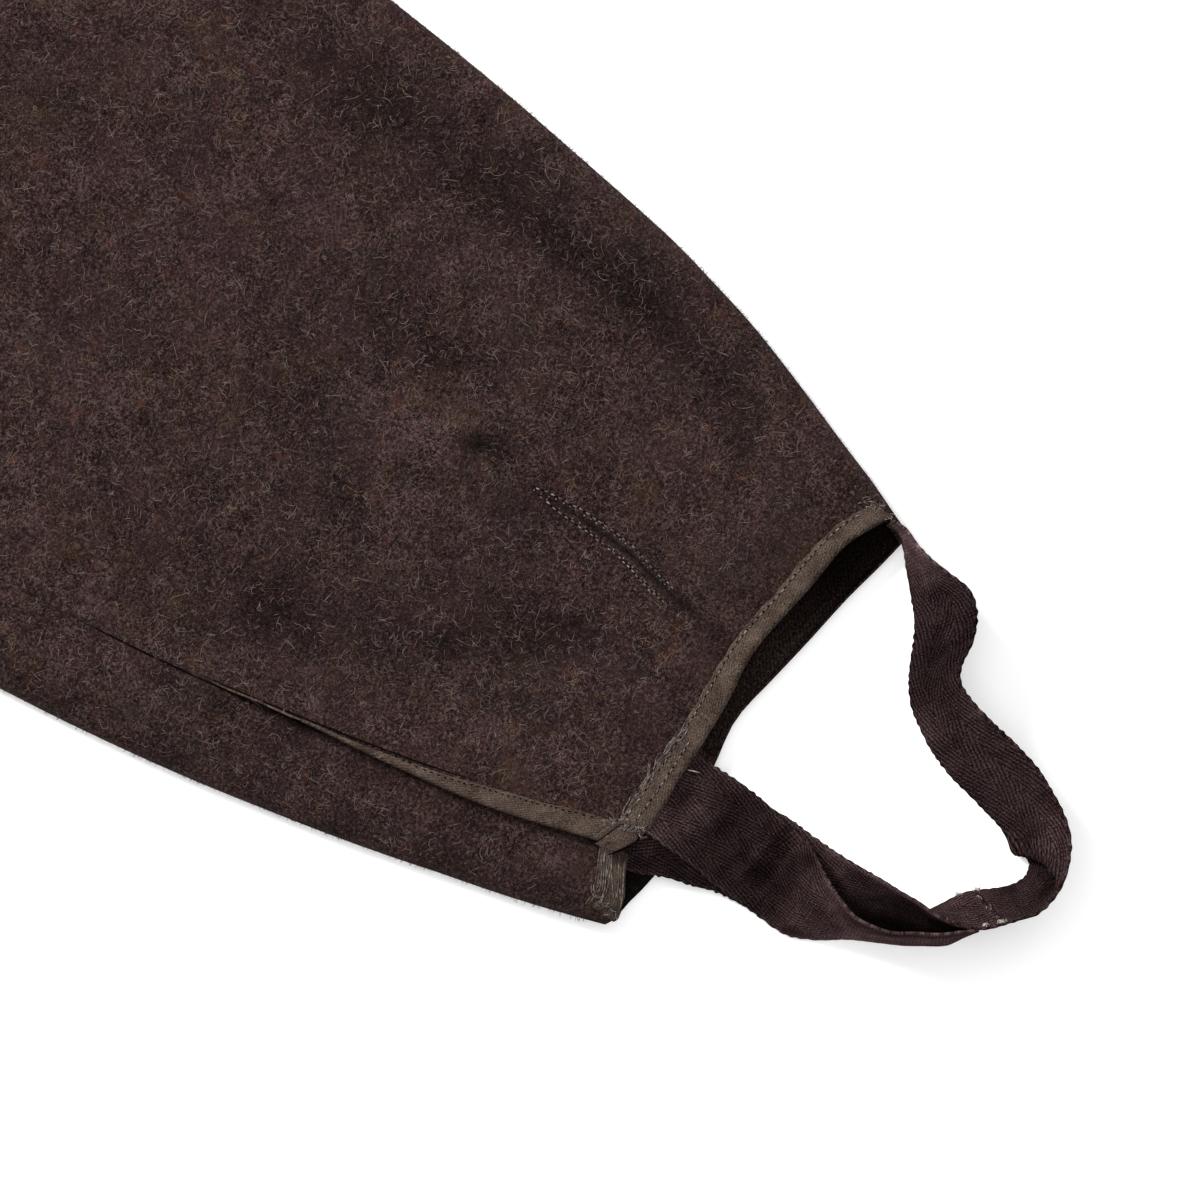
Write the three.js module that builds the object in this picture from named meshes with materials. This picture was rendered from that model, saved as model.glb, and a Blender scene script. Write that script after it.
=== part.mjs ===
import * as THREE from 'three';

// Pair of tapered wool trousers laid flat, front up, waist towards +Y, wearer's right leg at -X. All sizes are in mm.
const CLOTH = 2;
const BAND_CLOTH = 3;
const TAPE = 1;
const GAP = 0.3;
const BINDING_WIDTH = 7.5;
const FACING_WIDTH = 22;
const FOLD_RADIUS = 2.9;
const BAND_FOLD_RADIUS = 3.1;

// Where the fork and the middle of a hem lie, and how far a leg turns outwards
const FORK_Y = 289;
const HEM_X = 244;
const HEM_Y = FORK_Y - 756;
const LEG_TURN = THREE.MathUtils.degToRad(6);
const FORK_UP = 768;
const SEAT_HEIGHT = 250;
const BAND_HEIGHT = 40;
const BAND_OUTER_X = 210;

// Half widths of the leg each side of its middle line; "at" is the height above the hem
const LEG_WIDTHS = [
  { at: -12, inner: 74.0, outer: 74.8 },
  { at: 0, inner: 78.8, outer: 78.9 },
  { at: 10, inner: 82.9, outer: 82.3 },
  { at: 25, inner: 88.2, outer: 87.0 },
  { at: 40, inner: 93.7, outer: 91.2 },
  { at: 55, inner: 99.0, outer: 95.0 },
  { at: 70, inner: 103.8, outer: 99.0 },
  { at: 87, inner: 108.0, outer: 103.2 },
  { at: 105, inner: 112.0, outer: 107.2 },
  { at: 142, inner: 117.4, outer: 114.6 },
  { at: 180, inner: 122.3, outer: 120.4 },
  { at: 220, inner: 126.0, outer: 125.0 },
  { at: 320, inner: 134.0, outer: 137.0 },
  { at: 475, inner: 147.0, outer: 149.0 },
  { at: 620, inner: 156.0, outer: 158.0 },
  { at: 768, inner: 163.2, outer: 166.0 },
];

// Side line above the fork; "at" is the height above the fork on the centre seam
const HIP_SIDE = [
  { at: 0, x: 329, y: 38 },
  { at: 55, x: 321, y: 88 },
  { at: 110, x: 302, y: 137 },
  { at: 160, x: 275, y: 179 },
  { at: 205, x: 244, y: 216 },
  { at: 250, x: 213, y: 250 },
];

// Height of each hem above the hem line; "at" is the distance across the leg
const FRONT_HEM = [
  { at: -79, up: -0.8 },
  { at: -73, up: 1.7 },
  { at: -61, up: 7.0 },
  { at: -46, up: 8.8 },
  { at: -27, up: 11.7 },
  { at: -21, up: 12.5 },
  { at: -12, up: 12.4 },
  { at: -3, up: 11.1 },
  { at: 17, up: 10.1 },
  { at: 29, up: 10.1 },
  { at: 42, up: 9.1 },
  { at: 48, up: 9.6 },
  { at: 56, up: 12.8 },
];
const BACK_HEM = [
  { at: -80, up: -9.6 },
  { at: -64, up: -7.3 },
  { at: -48, up: -4.1 },
  { at: -31, up: -1.5 },
  { at: -13, up: 1.6 },
  { at: -1, up: 3.8 },
  { at: 6, up: 4.0 },
  { at: 19, up: 1.8 },
  { at: 45, up: -1.6 },
  { at: 60, up: -2.6 },
  { at: 69, up: -1.2 },
  { at: 80, up: 1.2 },
];
const SIDE_STRIP_HEM = [
  { at: 52, up: 11.0 },
  { at: 59, up: 8.9 },
  { at: 70, up: 3.0 },
  { at: 80, up: 1.2 },
];
const HEM_FADE = 80;

// Ankle vent: the front's edge lies this far inside the side fold, its binding shows this wide
const SIDE_STRIP = 31;
const VENT_TOP = 118;
const SEAM_START = 150;
const VENT_BINDING_SHOWS = [
  { at: -2, width: 8.6 },
  { at: 19, width: 7.5 },
  { at: 53, width: 6.0 },
  { at: 82, width: 3.2 },
  { at: 118, width: 1.3 },
];
const STRIP_UNDER_BINDING = 4;
const VENT_STACK = 3.8;

// Heights of the cloth's middle: resting back, raised back hem, front and raised front hem
const BACK_Z = CLOTH / 2;
const BACK_HEM_LIFT = TAPE + GAP;
const FRONT_Z = 5.0;
const FRONT_HEM_Z = 8.6;
const STRIP_DROP = 1.2;
const STRIP_HEM_DROP = 2.6;

// Soft folds of the front, each from one point to another: across, up, across, up, half width, height
const FRONT_FOLDS = [
  { a0: -97, v0: 240, a1: -88, v1: 95, half: 11, height: -1.1 },
  { a0: -88, v0: 95, a1: -58, v1: 42, half: 10, height: -0.9 },
  { a0: 61, v0: 154, a1: 2, v1: 50, half: 13, height: -0.9 },
  { a0: 72, v0: 150, a1: 50, v1: 36, half: 9, height: 0.8 },
  { a0: -23, v0: 119, a1: -26, v1: 112, half: 11, height: 1.4 },
  { a0: -12, v0: 140, a1: -18, v1: 126, half: 8, height: -1.0 },
  { a0: -45, v0: 150, a1: -30, v1: 215, half: 12, height: -0.8 },
  { a0: -70, v0: 330, a1: 50, v1: 300, half: 20, height: 1.3 },
  { a0: 90, v0: 400, a1: -20, v1: 440, half: 18, height: -0.9 },
  { a0: -110, v0: 560, a1: 20, v1: 500, half: 22, height: 1.2 },
  { a0: -130, v0: 720, a1: 30, v1: 620, half: 24, height: 1.4 },
  { a0: -120, v0: 780, a1: 90, v1: 760, half: 18, height: -0.9 },
  { a0: -40, v0: 830, a1: 110, v1: 880, half: 20, height: 1.2 },
];

// Foot strap tapes: the edge nearer the table (plan point and height), the raised edge and how far it stands above
const STRAP_FRONT = [
  { lowA: 48.6, lowUp: 20.4, z: 5.4, highA: 19.0, highUp: 13.1, rise: 0.0 },
  { lowA: 48.6, lowUp: 8.3, z: 5.4, highA: 19.0, highUp: 1.0, rise: 0.0 },
  { lowA: 49.0, lowUp: -1.2, z: 5.6, highA: 19.0, highUp: -9.0, rise: 0.0 },
  { lowA: 49.6, lowUp: -11.8, z: 5.4, highA: 20.0, highUp: -19.0, rise: 0.5 },
  { lowA: 50.4, lowUp: -18.6, z: 4.2, highA: 21.6, highUp: -27.0, rise: 3.0 },
  { lowA: 50.0, lowUp: -26.3, z: 2.7, highA: 22.8, highUp: -34.9, rise: 9.0 },
  { lowA: 49.6, lowUp: -35.0, z: 1.8, highA: 24.9, highUp: -40.5, rise: 16.1 },
  { lowA: 50.2, lowUp: -46.5, z: 0.6, highA: 28.6, highUp: -46.8, rise: 20.8 },
  { lowA: 47.9, lowUp: -53.6, z: 0.6, highA: 31.8, highUp: -53.7, rise: 25.3 },
  { lowA: 41.3, lowUp: -63.5, z: 0.6, highA: 34.3, highUp: -62.5, rise: 29.2 },
  { lowA: 35.9, lowUp: -74.0, z: 0.6, highA: 32.0, highUp: -73.2, rise: 29.7 },
  { lowA: 31.0, lowUp: -83.0, z: 0.6, highA: 27.9, highUp: -81.8, rise: 29.8 },
  { lowA: 26.2, lowUp: -90.9, z: 0.6, highA: 24.2, highUp: -89.4, rise: 29.9 },
  { lowA: 22.4, lowUp: -94.9, z: 0.6, highA: 20.8, highUp: -93.0, rise: 29.9 },
  { lowA: 18.6, lowUp: -97.4, z: 0.6, highA: 17.6, highUp: -96.0, rise: 30.0 },
];
const STRAP_BACK = [
  { lowA: 63.3, lowUp: 11.3, z: 4.1, highA: 36.3, highUp: 24.2, rise: 0.0 },
  { lowA: 60.5, lowUp: 2.5, z: 4.1, highA: 33.4, highUp: 15.9, rise: 0.0 },
  { lowA: 56.8, lowUp: -5.3, z: 4.1, highA: 29.0, highUp: 6.0, rise: 0.0 },
  { lowA: 53.5, lowUp: -12.6, z: 4.0, highA: 25.0, highUp: -4.0, rise: 0.0 },
  { lowA: 50.8, lowUp: -20.2, z: 1.9, highA: 21.6, highUp: -13.7, rise: 0.2 },
  { lowA: 49.6, lowUp: -28.8, z: 0.7, highA: 20.0, highUp: -25.4, rise: 2.6 },
  { lowA: 48.6, lowUp: -38.4, z: 0.6, highA: 20.4, highUp: -36.6, rise: 10.0 },
  { lowA: 45.8, lowUp: -48.6, z: 0.6, highA: 20.6, highUp: -47.5, rise: 16.2 },
  { lowA: 39.8, lowUp: -58.0, z: 0.6, highA: 20.3, highUp: -56.5, rise: 22.7 },
  { lowA: 34.6, lowUp: -67.6, z: 0.6, highA: 19.8, highUp: -67.2, rise: 26.1 },
  { lowA: 29.6, lowUp: -77.4, z: 0.6, highA: 19.4, highUp: -76.2, rise: 28.2 },
  { lowA: 25.6, lowUp: -85.8, z: 0.6, highA: 19.8, highUp: -84.6, rise: 29.4 },
  { lowA: 22.0, lowUp: -90.4, z: 0.6, highA: 19.3, highUp: -90.2, rise: 29.9 },
  { lowA: 17.8, lowUp: -93.3, z: 0.6, highA: 17.0, highUp: -93.2, rise: 30.0 },
];
const STRAP_LOOP = [
  { lowA: -71.9, lowUp: -11.2, z: 0.8, highA: -75.6, highUp: -10.4, rise: 14.5 },
  { lowA: -70.0, lowUp: -14.0, z: 0.6, highA: -75.2, highUp: -13.6, rise: 17.2 },
  { lowA: -66.1, lowUp: -17.6, z: 0.6, highA: -73.4, highUp: -20.0, rise: 22.7 },
  { lowA: -61.0, lowUp: -21.0, z: 0.6, highA: -72.7, highUp: -27.6, rise: 24.6 },
  { lowA: -55.3, lowUp: -24.8, z: 0.6, highA: -71.3, highUp: -34.6, rise: 23.4 },
  { lowA: -48.8, lowUp: -28.8, z: 0.6, highA: -66.1, highUp: -40.8, rise: 21.4 },
  { lowA: -42.5, lowUp: -31.9, z: 0.6, highA: -59.0, highUp: -43.8, rise: 22.0 },
  { lowA: -36.3, lowUp: -35.2, z: 0.6, highA: -51.0, highUp: -45.2, rise: 24.2 },
  { lowA: -31.1, lowUp: -39.8, z: 0.6, highA: -45.6, highUp: -48.2, rise: 24.9 },
  { lowA: -26.7, lowUp: -45.7, z: 0.6, highA: -42.7, highUp: -54.6, rise: 23.8 },
  { lowA: -22.6, lowUp: -53.3, z: 0.6, highA: -40.6, highUp: -63.1, rise: 21.9 },
  { lowA: -19.4, lowUp: -62.1, z: 0.6, highA: -39.0, highUp: -72.4, rise: 20.2 },
  { lowA: -17.3, lowUp: -72.7, z: 0.6, highA: -36.9, highUp: -81.7, rise: 20.9 },
  { lowA: -15.0, lowUp: -82.6, z: 0.6, highA: -33.3, highUp: -90.4, rise: 22.5 },
  { lowA: -12.8, lowUp: -89.2, z: 0.6, highA: -28.9, highUp: -98.0, rise: 23.7 },
  { lowA: -11.4, lowUp: -93.6, z: 0.6, highA: -23.7, highUp: -104.1, rise: 25.3 },
  { lowA: -9.8, lowUp: -96.6, z: 0.6, highA: -17.8, highUp: -107.6, rise: 26.7 },
  { lowA: -7.6, lowUp: -98.2, z: 0.6, highA: -11.2, highUp: -109.6, rise: 27.5 },
  { lowA: -4.8, lowUp: -98.6, z: 0.6, highA: -4.3, highUp: -109.9, rise: 27.8 },
  { lowA: -1.6, lowUp: -97.6, z: 0.6, highA: 2.0, highUp: -108.6, rise: 27.7 },
  { lowA: 1.5, lowUp: -94.8, z: 0.6, highA: 7.4, highUp: -104.8, rise: 27.7 },
  { lowA: 4.4, lowUp: -91.4, z: 0.6, highA: 10.6, highUp: -100.4, rise: 27.9 },
  { lowA: 7.0, lowUp: -88.4, z: 0.6, highA: 13.2, highUp: -96.8, rise: 28.1 },
  { lowA: 10.0, lowUp: -85.8, z: 0.6, highA: 15.0, highUp: -93.4, rise: 28.6 },
  { lowA: 13.6, lowUp: -83.6, z: 0.6, highA: 16.9, highUp: -89.4, rise: 29.2 },
  { lowA: 16.6, lowUp: -81.6, z: 0.6, highA: 18.0, highUp: -84.6, rise: 29.8 },
];

// Fly: half width of the closing flap; "at" is the height above the fork
const FLY_WIDTHS = [
  { at: 75, half: 6 },
  { at: 80, half: 13 },
  { at: 92, half: 18.5 },
  { at: 130, half: 19 },
  { at: 289, half: 19 },
];
const BAND_FRONT_Z = 6.2;
const BUTTON_RADIUS = 8.5;
const BUTTON_THICKNESS = 2.6;
const BUTTON_EDGE = 0.4;
const BUTTON_HOLE = 1.1;
const BUTTON_HOLE_SPACING = 1.8;

const COLOURS = {
  wool: { color: '#392b28', roughness: 0.95, metalness: 0 },
  binding: { color: '#56483e', roughness: 0.85, metalness: 0 },
  tape: { color: '#322628', roughness: 0.8, metalness: 0 },
  facing: { color: '#251b1a', roughness: 0.9, metalness: 0 },
  button: { color: '#2b1f19', roughness: 0.45, metalness: 0 },
};

const { clamp, lerp } = THREE.MathUtils;
const ease = (t) => THREE.MathUtils.smoothstep(t, 0, 1);
const hill = (distance, half) => Math.exp(-((distance / half) ** 2));

// Smooth value of a named column between the rows of a table
function along(table, column, at) {
  let i = 0;
  while (i < table.length - 2 && table[i + 1].at < at) i += 1;
  const low = table[i];
  const high = table[i + 1];
  const span = high.at - low.at;
  const t = clamp((at - low.at) / span, 0, 1);
  const slope = (j) => {
    const before = table[Math.max(j - 1, 0)];
    const after = table[Math.min(j + 1, table.length - 1)];
    return (after[column] - before[column]) / (after.at - before.at);
  };
  const t2 = t * t;
  const t3 = t2 * t;
  return (2 * t3 - 3 * t2 + 1) * low[column] + (t3 - 2 * t2 + t) * span * slope(i)
    + (3 * t2 - 2 * t3) * high[column] + (t3 - t2) * span * slope(i + 1);
}

// Plan point of the leg: "a" is outwards from its middle line, "up" is above the hem line
function legPlan(a, up) {
  return [
    HEM_X - up * Math.sin(LEG_TURN) + a * Math.cos(LEG_TURN),
    HEM_Y + up * Math.cos(LEG_TURN) + a * Math.sin(LEG_TURN),
  ];
}

// Ends of the row at height v: the leg's folds, and above the fork the centre seam and the side fold
function rowEnds(v) {
  if (v <= FORK_UP) {
    return [legPlan(-along(LEG_WIDTHS, 'inner', v), v), legPlan(along(LEG_WIDTHS, 'outer', v), v)];
  }
  const height = v - FORK_UP;
  const side = [along(HIP_SIDE, 'x', height), FORK_Y + along(HIP_SIDE, 'y', height)];
  return [[GAP / 2, FORK_Y + height], side];
}

// Distances from the row's middle line to its two ends
function halfWidths(v) {
  if (v <= FORK_UP) {
    return [along(LEG_WIDTHS, 'inner', v), along(LEG_WIDTHS, 'outer', v)];
  }
  const [inner, outer] = rowEnds(v);
  const half = Math.hypot(outer[0] - inner[0], outer[1] - inner[1]) / 2;
  return [half, half];
}

// Plan point "a" across row v, moved up near the hem by that layer's own hem line
function panelPlan(a, v, hem) {
  if (v > FORK_UP) {
    const [inner, outer] = rowEnds(v);
    const [half] = halfWidths(v);
    const t = (a + half) / (2 * half);
    return [lerp(inner[0], outer[0], t), lerp(inner[1], outer[1], t)];
  }
  const up = v + along(hem, 'up', a) * (1 - ease(v / HEM_FADE));
  const side = a < 0 ? 0 : 1;
  const nominal = halfWidths(v)[side];
  const spread = (halfWidths(up)[side] - nominal) * Math.abs(a / nominal) ** 6;
  return legPlan(a + Math.sign(a) * spread, up);
}

const isLeg = (v) => v <= FORK_UP;
const foldHeight = 2 * FOLD_RADIUS;
const backZ = (v) => BACK_Z + BACK_HEM_LIFT * (1 - ease((v - 8) / 30));
const ventEdge = (v) => halfWidths(v)[1] - SIDE_STRIP;
const bindingShows = (v) => along(VENT_BINDING_SHOWS, 'width', v);
const ventOpening = (v) => 1 - ease((v - VENT_TOP) / (SEAM_START - VENT_TOP));
const stripDrop = (v) => lerp(STRIP_HEM_DROP, STRIP_DROP, ease((v - 14) / 60)) * ventOpening(v);

function sideStripEdge(v) {
  return ventEdge(v) + GAP / 2 + STRIP_UNDER_BINDING * (1 - ease(v / VENT_TOP));
}

function frontEdge(v) {
  const bound = v <= VENT_TOP + 1;
  return ventEdge(v) + (bound ? bindingShows(v) - TAPE - GAP : -GAP / 2);
}

function distanceToFold(fold, a, v) {
  const da = fold.a1 - fold.a0;
  const dv = fold.v1 - fold.v0;
  const t = clamp(((a - fold.a0) * da + (v - fold.v0) * dv) / (da * da + dv * dv), 0, 1);
  return Math.hypot(a - fold.a0 - da * t, v - fold.v0 - dv * t);
}

// Height of the upper layer's middle, before the vent lifts the front and drops the side strip
function upperZ(a, v) {
  const [inner, outer] = halfWidths(v);
  const base = lerp(FRONT_HEM_Z, FRONT_Z, ease((v - 14) / 60));
  const rise = backZ(v) + foldHeight - base;
  const fromSide = outer - CLOTH / 2 - FOLD_RADIUS - a;
  const fromInseam = a + inner - CLOTH / 2 - FOLD_RADIUS;
  const atInseam = isLeg(v) ? Math.exp(-Math.max(fromInseam, 0) / 14) : 0;
  const atSide = Math.exp(-Math.max(fromSide, 0) / 16);
  return base + rise * (atInseam + atSide);
}

function frontZ(a, v) {
  const lift = (VENT_STACK - stripDrop(v)) * ventOpening(v) * Math.exp(-Math.max(ventEdge(v) - a, 0) / 20);
  const [inner, outer] = halfWidths(v);
  const clear = Math.min((a + inner - 6) / 12, (outer - SIDE_STRIP - a + 4) / 12);
  const fade = ease(clear) * ease((v - 4) / 30);
  const folds = FRONT_FOLDS.reduce((sum, f) => sum + f.height * hill(distanceToFold(f, a, v), f.half), 0);
  return upperZ(a, v) + lift + folds * fade;
}

function sideStripZ(a, v) {
  const fromSide = halfWidths(v)[1] - CLOTH / 2 - FOLD_RADIUS - a;
  return upperZ(a, v) - stripDrop(v) * ease(fromSide / 20);
}

// A point of the section with the outward direction of the wall there
function sectionPoint(a, z, outA, outZ, hem) {
  return { a, z, outA, outZ, hem };
}

// Upper-layer point whose outward direction follows the slope of its height function
function upperPoint(height, a, v, hem) {
  const step = 0.5;
  const slope = (height(a + step, v) - height(a - step, v)) / (2 * step);
  const size = Math.hypot(slope, 1);
  return sectionPoint(a, height(a, v), -slope / size, 1 / size, hem);
}

// Section of the front: from the seam rolled down at the inseam fold to the edge at the side seam or vent
const ROLL_STEPS = 4;
const FRONT_STEPS = 18;
function frontSection(v) {
  const [inner] = halfWidths(v);
  const edge = frontEdge(v);
  const points = [];
  const start = -inner + CLOTH / 2 + FOLD_RADIUS;
  const centreZ = backZ(v) + FOLD_RADIUS;
  if (isLeg(v)) {
    const last = GAP / 2 / FOLD_RADIUS;
    for (let i = 0; i < ROLL_STEPS; i += 1) {
      const angle = lerp(last, Math.PI / 2, i / ROLL_STEPS);
      const cos = Math.cos(angle);
      const sin = Math.sin(angle);
      points.push(sectionPoint(start - FOLD_RADIUS * cos, centreZ + FOLD_RADIUS * sin, -cos, sin, FRONT_HEM));
    }
  } else {
    for (let i = 0; i < ROLL_STEPS; i += 1) {
      points.push(upperPoint(frontZ, -inner + (CLOTH / 2 + FOLD_RADIUS) * (i / ROLL_STEPS), v, FRONT_HEM));
    }
  }
  for (let i = 0; i <= FRONT_STEPS; i += 1) {
    points.push(upperPoint(frontZ, lerp(start, edge, i / FRONT_STEPS), v, FRONT_HEM));
  }
  return points;
}

// Section of the back: from the inseam, under the leg, round the side fold and on to the front as a strip
const BACK_STEPS = 12;
const FOLD_STEPS = 8;
const STRIP_STEPS = 5;
function backSection(v) {
  const [inner, outer] = halfWidths(v);
  const points = [];
  const z = backZ(v);
  const start = -inner + CLOTH / 2 + FOLD_RADIUS;
  const end = outer - CLOTH / 2 - FOLD_RADIUS;
  for (let i = 0; i < ROLL_STEPS; i += 1) {
    const t = i / ROLL_STEPS;
    if (isLeg(v)) {
      const angle = lerp(GAP / 2 / FOLD_RADIUS, Math.PI / 2, t);
      const cos = Math.cos(angle);
      const sin = Math.sin(angle);
      points.push(sectionPoint(start - FOLD_RADIUS * cos, z + FOLD_RADIUS * (1 - sin), -cos, -sin, BACK_HEM));
    } else {
      points.push(sectionPoint(-inner + (CLOTH / 2 + FOLD_RADIUS) * t, z, 0, -1, BACK_HEM));
    }
  }
  for (let i = 0; i < BACK_STEPS; i += 1) {
    points.push(sectionPoint(lerp(start, end, i / BACK_STEPS), z, 0, -1, BACK_HEM));
  }
  for (let i = 0; i < FOLD_STEPS; i += 1) {
    const angle = Math.PI * (i / FOLD_STEPS);
    const sin = Math.sin(angle);
    const cos = Math.cos(angle);
    const hem = i < FOLD_STEPS / 2 ? BACK_HEM : SIDE_STRIP_HEM;
    points.push(sectionPoint(end + FOLD_RADIUS * sin, z + FOLD_RADIUS * (1 - cos), sin, -cos, hem));
  }
  for (let i = 0; i <= STRIP_STEPS; i += 1) {
    points.push(upperPoint(sideStripZ, lerp(end, sideStripEdge(v), i / STRIP_STEPS), v, SIDE_STRIP_HEM));
  }
  return points;
}

// Section points moved off the wall's middle by a distance and placed in the garment, for one leg
function placeRow(section, v, side, offset = 0) {
  const [inner, outer] = rowEnds(v);
  const length = Math.hypot(outer[0] - inner[0], outer[1] - inner[1]);
  const across = [(outer[0] - inner[0]) / length, (outer[1] - inner[1]) / length];
  return section.map((p) => {
    const plan = panelPlan(p.a, v, p.hem);
    const out = [p.outA * across[0], p.outA * across[1], p.outZ];
    const mid = [plan[0] + out[0] * offset, plan[1] + out[1] * offset, p.z + out[2] * offset];
    return { mid: [side * mid[0], mid[1], mid[2]], out: [side * out[0], out[1], out[2]] };
  });
}

// Mesh from points and faces, turned so that its faces look outwards
function makeSolid(name, points, faces, look) {
  let volume = 0;
  for (const [i, j, k] of faces) {
    const [a, b, c] = [points[i], points[j], points[k]];
    volume += a[0] * (b[1] * c[2] - b[2] * c[1]) + a[1] * (b[2] * c[0] - b[0] * c[2])
      + a[2] * (b[0] * c[1] - b[1] * c[0]);
  }
  const turned = volume < 0 ? faces.map(([i, j, k]) => [i, k, j]) : faces;
  const geometry = new THREE.BufferGeometry();
  geometry.setAttribute('position', new THREE.Float32BufferAttribute(points.flat(), 3));
  geometry.setIndex(turned.flat());
  geometry.computeVertexNormals();
  const mesh = new THREE.Mesh(geometry, new THREE.MeshStandardMaterial(look));
  mesh.name = name;
  return mesh;
}

// Closed wall of even thickness about a grid of middle points
function wall(name, rows, thickness, look) {
  const rowCount = rows.length;
  const columns = rows[0].length;
  const half = thickness / 2;
  const layer = (sign) => rows.flat().map(({ mid, out }) => mid.map((value, k) => value + out[k] * sign * half));
  const points = [...layer(1), ...layer(-1)];
  const under = rowCount * columns;
  const at = (r, c) => r * columns + c;
  const faces = [];
  const quad = (a, b, c, d) => faces.push([a, b, c], [a, c, d]);
  for (let r = 0; r < rowCount - 1; r += 1) {
    for (let c = 0; c < columns - 1; c += 1) {
      quad(at(r, c), at(r, c + 1), at(r + 1, c + 1), at(r + 1, c));
      quad(under + at(r, c), under + at(r + 1, c), under + at(r + 1, c + 1), under + at(r, c + 1));
    }
  }
  const rim = (i, j) => quad(j, i, under + i, under + j);
  for (let c = 0; c < columns - 1; c += 1) {
    rim(at(0, c), at(0, c + 1));
    rim(at(rowCount - 1, c + 1), at(rowCount - 1, c));
  }
  for (let r = 0; r < rowCount - 1; r += 1) {
    rim(at(r + 1, 0), at(r, 0));
    rim(at(r, columns - 1), at(r + 1, columns - 1));
  }
  return makeSolid(name, points, faces, look);
}

// Closed bar through matching sections, with an end cap from the flat shape of one section
function bar(name, sections, flatShape, look) {
  const size = flatShape.length;
  const faces = [];
  for (let r = 0; r < sections.length - 1; r += 1) {
    for (let c = 0; c < size; c += 1) {
      const next = (c + 1) % size;
      const [a, b] = [r * size + c, r * size + next];
      faces.push([a, b, b + size], [a, b + size, a + size]);
    }
  }
  const cap = THREE.ShapeUtils.triangulateShape(flatShape.map(([x, y]) => new THREE.Vector2(x, y)), []);
  const last = (sections.length - 1) * size;
  const wantsFlip = THREE.ShapeUtils.area(flatShape.map(([x, y]) => new THREE.Vector2(x, y))) > 0;
  for (const [i, j, k] of cap) {
    faces.push(wantsFlip ? [i, k, j] : [i, j, k]);
    faces.push(wantsFlip ? [last + i, last + j, last + k] : [last + i, last + k, last + j]);
  }
  return makeSolid(name, sections.flat(), faces, look);
}

// Folded binding's section: distance in from the cloth's edge, and height off the cloth's middle
function bindingShape(width) {
  const inner = CLOTH / 2 + GAP;
  const outer = inner + TAPE;
  const nose = -GAP - TAPE;
  const round = 0.5;
  return [
    [width, outer], [nose + round, outer], [nose, outer - round], [nose, -outer + round],
    [nose + round, -outer], [width, -outer], [width, -inner], [-GAP, -inner], [-GAP, inner], [width, inner],
  ];
}

const LEG_ROW_HEIGHTS = [
  0, 7, 14, 22, 32, 44, 58, 74, 92, 108, 118, 132, 148, 180, 220, 280, 360, 450, 540, 630, 710, 762,
];
const HIP_ROW_HEIGHTS = [0, 35, 75, 120, 165, 210, SEAT_HEIGHT - GAP];
const PANEL_HEIGHTS = [...LEG_ROW_HEIGHTS, ...HIP_ROW_HEIGHTS.map((h) => FORK_UP + Math.max(h, 0.01))];

function frontPanel(name, side) {
  return wall(name, PANEL_HEIGHTS.map((v) => placeRow(frontSection(v), v, side)), CLOTH, COLOURS.wool);
}

function backPanel(name, side) {
  return wall(name, PANEL_HEIGHTS.map((v) => placeRow(backSection(v), v, side)), CLOTH, COLOURS.wool);
}

// Point of the front's middle surface near its hem or vent, raised by h
function frontPoint(a, v, h, side) {
  const plan = panelPlan(a, v, FRONT_HEM);
  return [side * plan[0], plan[1], frontZ(a, v) + h];
}

const HEM_BINDING_START = -75.5;
const HEM_BINDING_STEPS = 22;
const MITRE_GAP = 0.5;
function hemBinding(name, side) {
  const shape = bindingShape(BINDING_WIDTH);
  const end = ventEdge(0) - MITRE_GAP;
  const sections = [];
  for (let i = 0; i <= HEM_BINDING_STEPS; i += 1) {
    const a = lerp(HEM_BINDING_START, end, i / HEM_BINDING_STEPS);
    sections.push(shape.map(([d, h]) => {
      const plan = panelPlan(a, Math.max(d, 0), FRONT_HEM);
      const below = Math.min(d, 0);
      return [
        side * (plan[0] - below * Math.sin(LEG_TURN)), plan[1] + below * Math.cos(LEG_TURN),
        frontZ(a, Math.max(d, 0)) + h,
      ];
    }));
  }
  return bar(name, sections, shape, COLOURS.binding);
}

const VENT_BINDING_HEIGHTS = [0.2, 7, 14, 22, 32, 44, 58, 74, 92, 108, VENT_TOP];
const VENT_FLAP_LEAST = 3;
function ventBinding(name, side) {
  const flat = bindingShape(BINDING_WIDTH);
  const sections = VENT_BINDING_HEIGHTS.map((v) => {
    const shape = bindingShape(Math.max(bindingShows(v) - TAPE - GAP, VENT_FLAP_LEAST));
    return shape.map(([d, h]) => frontPoint(frontEdge(v) - d, v, h, side));
  });
  return bar(name, sections, flat, COLOURS.binding);
}

const BACK_TRIM_OFFSET = CLOTH / 2 + GAP + TAPE / 2;
function backHemBinding(name, side) {
  const first = ROLL_STEPS;
  const last = ROLL_STEPS + BACK_STEPS + FOLD_STEPS + STRIP_STEPS - 2;
  const rows = [0.5, 4.2, 8].map((v) => placeRow(backSection(v).slice(first, last + 1), v, side, BACK_TRIM_OFFSET));
  return wall(name, rows, TAPE, COLOURS.binding);
}

const FACING_END = 16.5;
const FACING_STEPS = 10;
function backHemFacing(name, side) {
  const rows = [0.8, 8, 15, FACING_WIDTH].map((v) => {
    const start = -halfWidths(v)[0] + CLOTH / 2 + FOLD_RADIUS + 1.2;
    const section = [];
    for (let i = 0; i <= FACING_STEPS; i += 1) {
      section.push(sectionPoint(lerp(start, FACING_END, i / FACING_STEPS), backZ(v), 0, 1, BACK_HEM));
    }
    return placeRow(section, v, side, BACK_TRIM_OFFSET);
  });
  return wall(name, rows, TAPE, COLOURS.facing);
}

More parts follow.
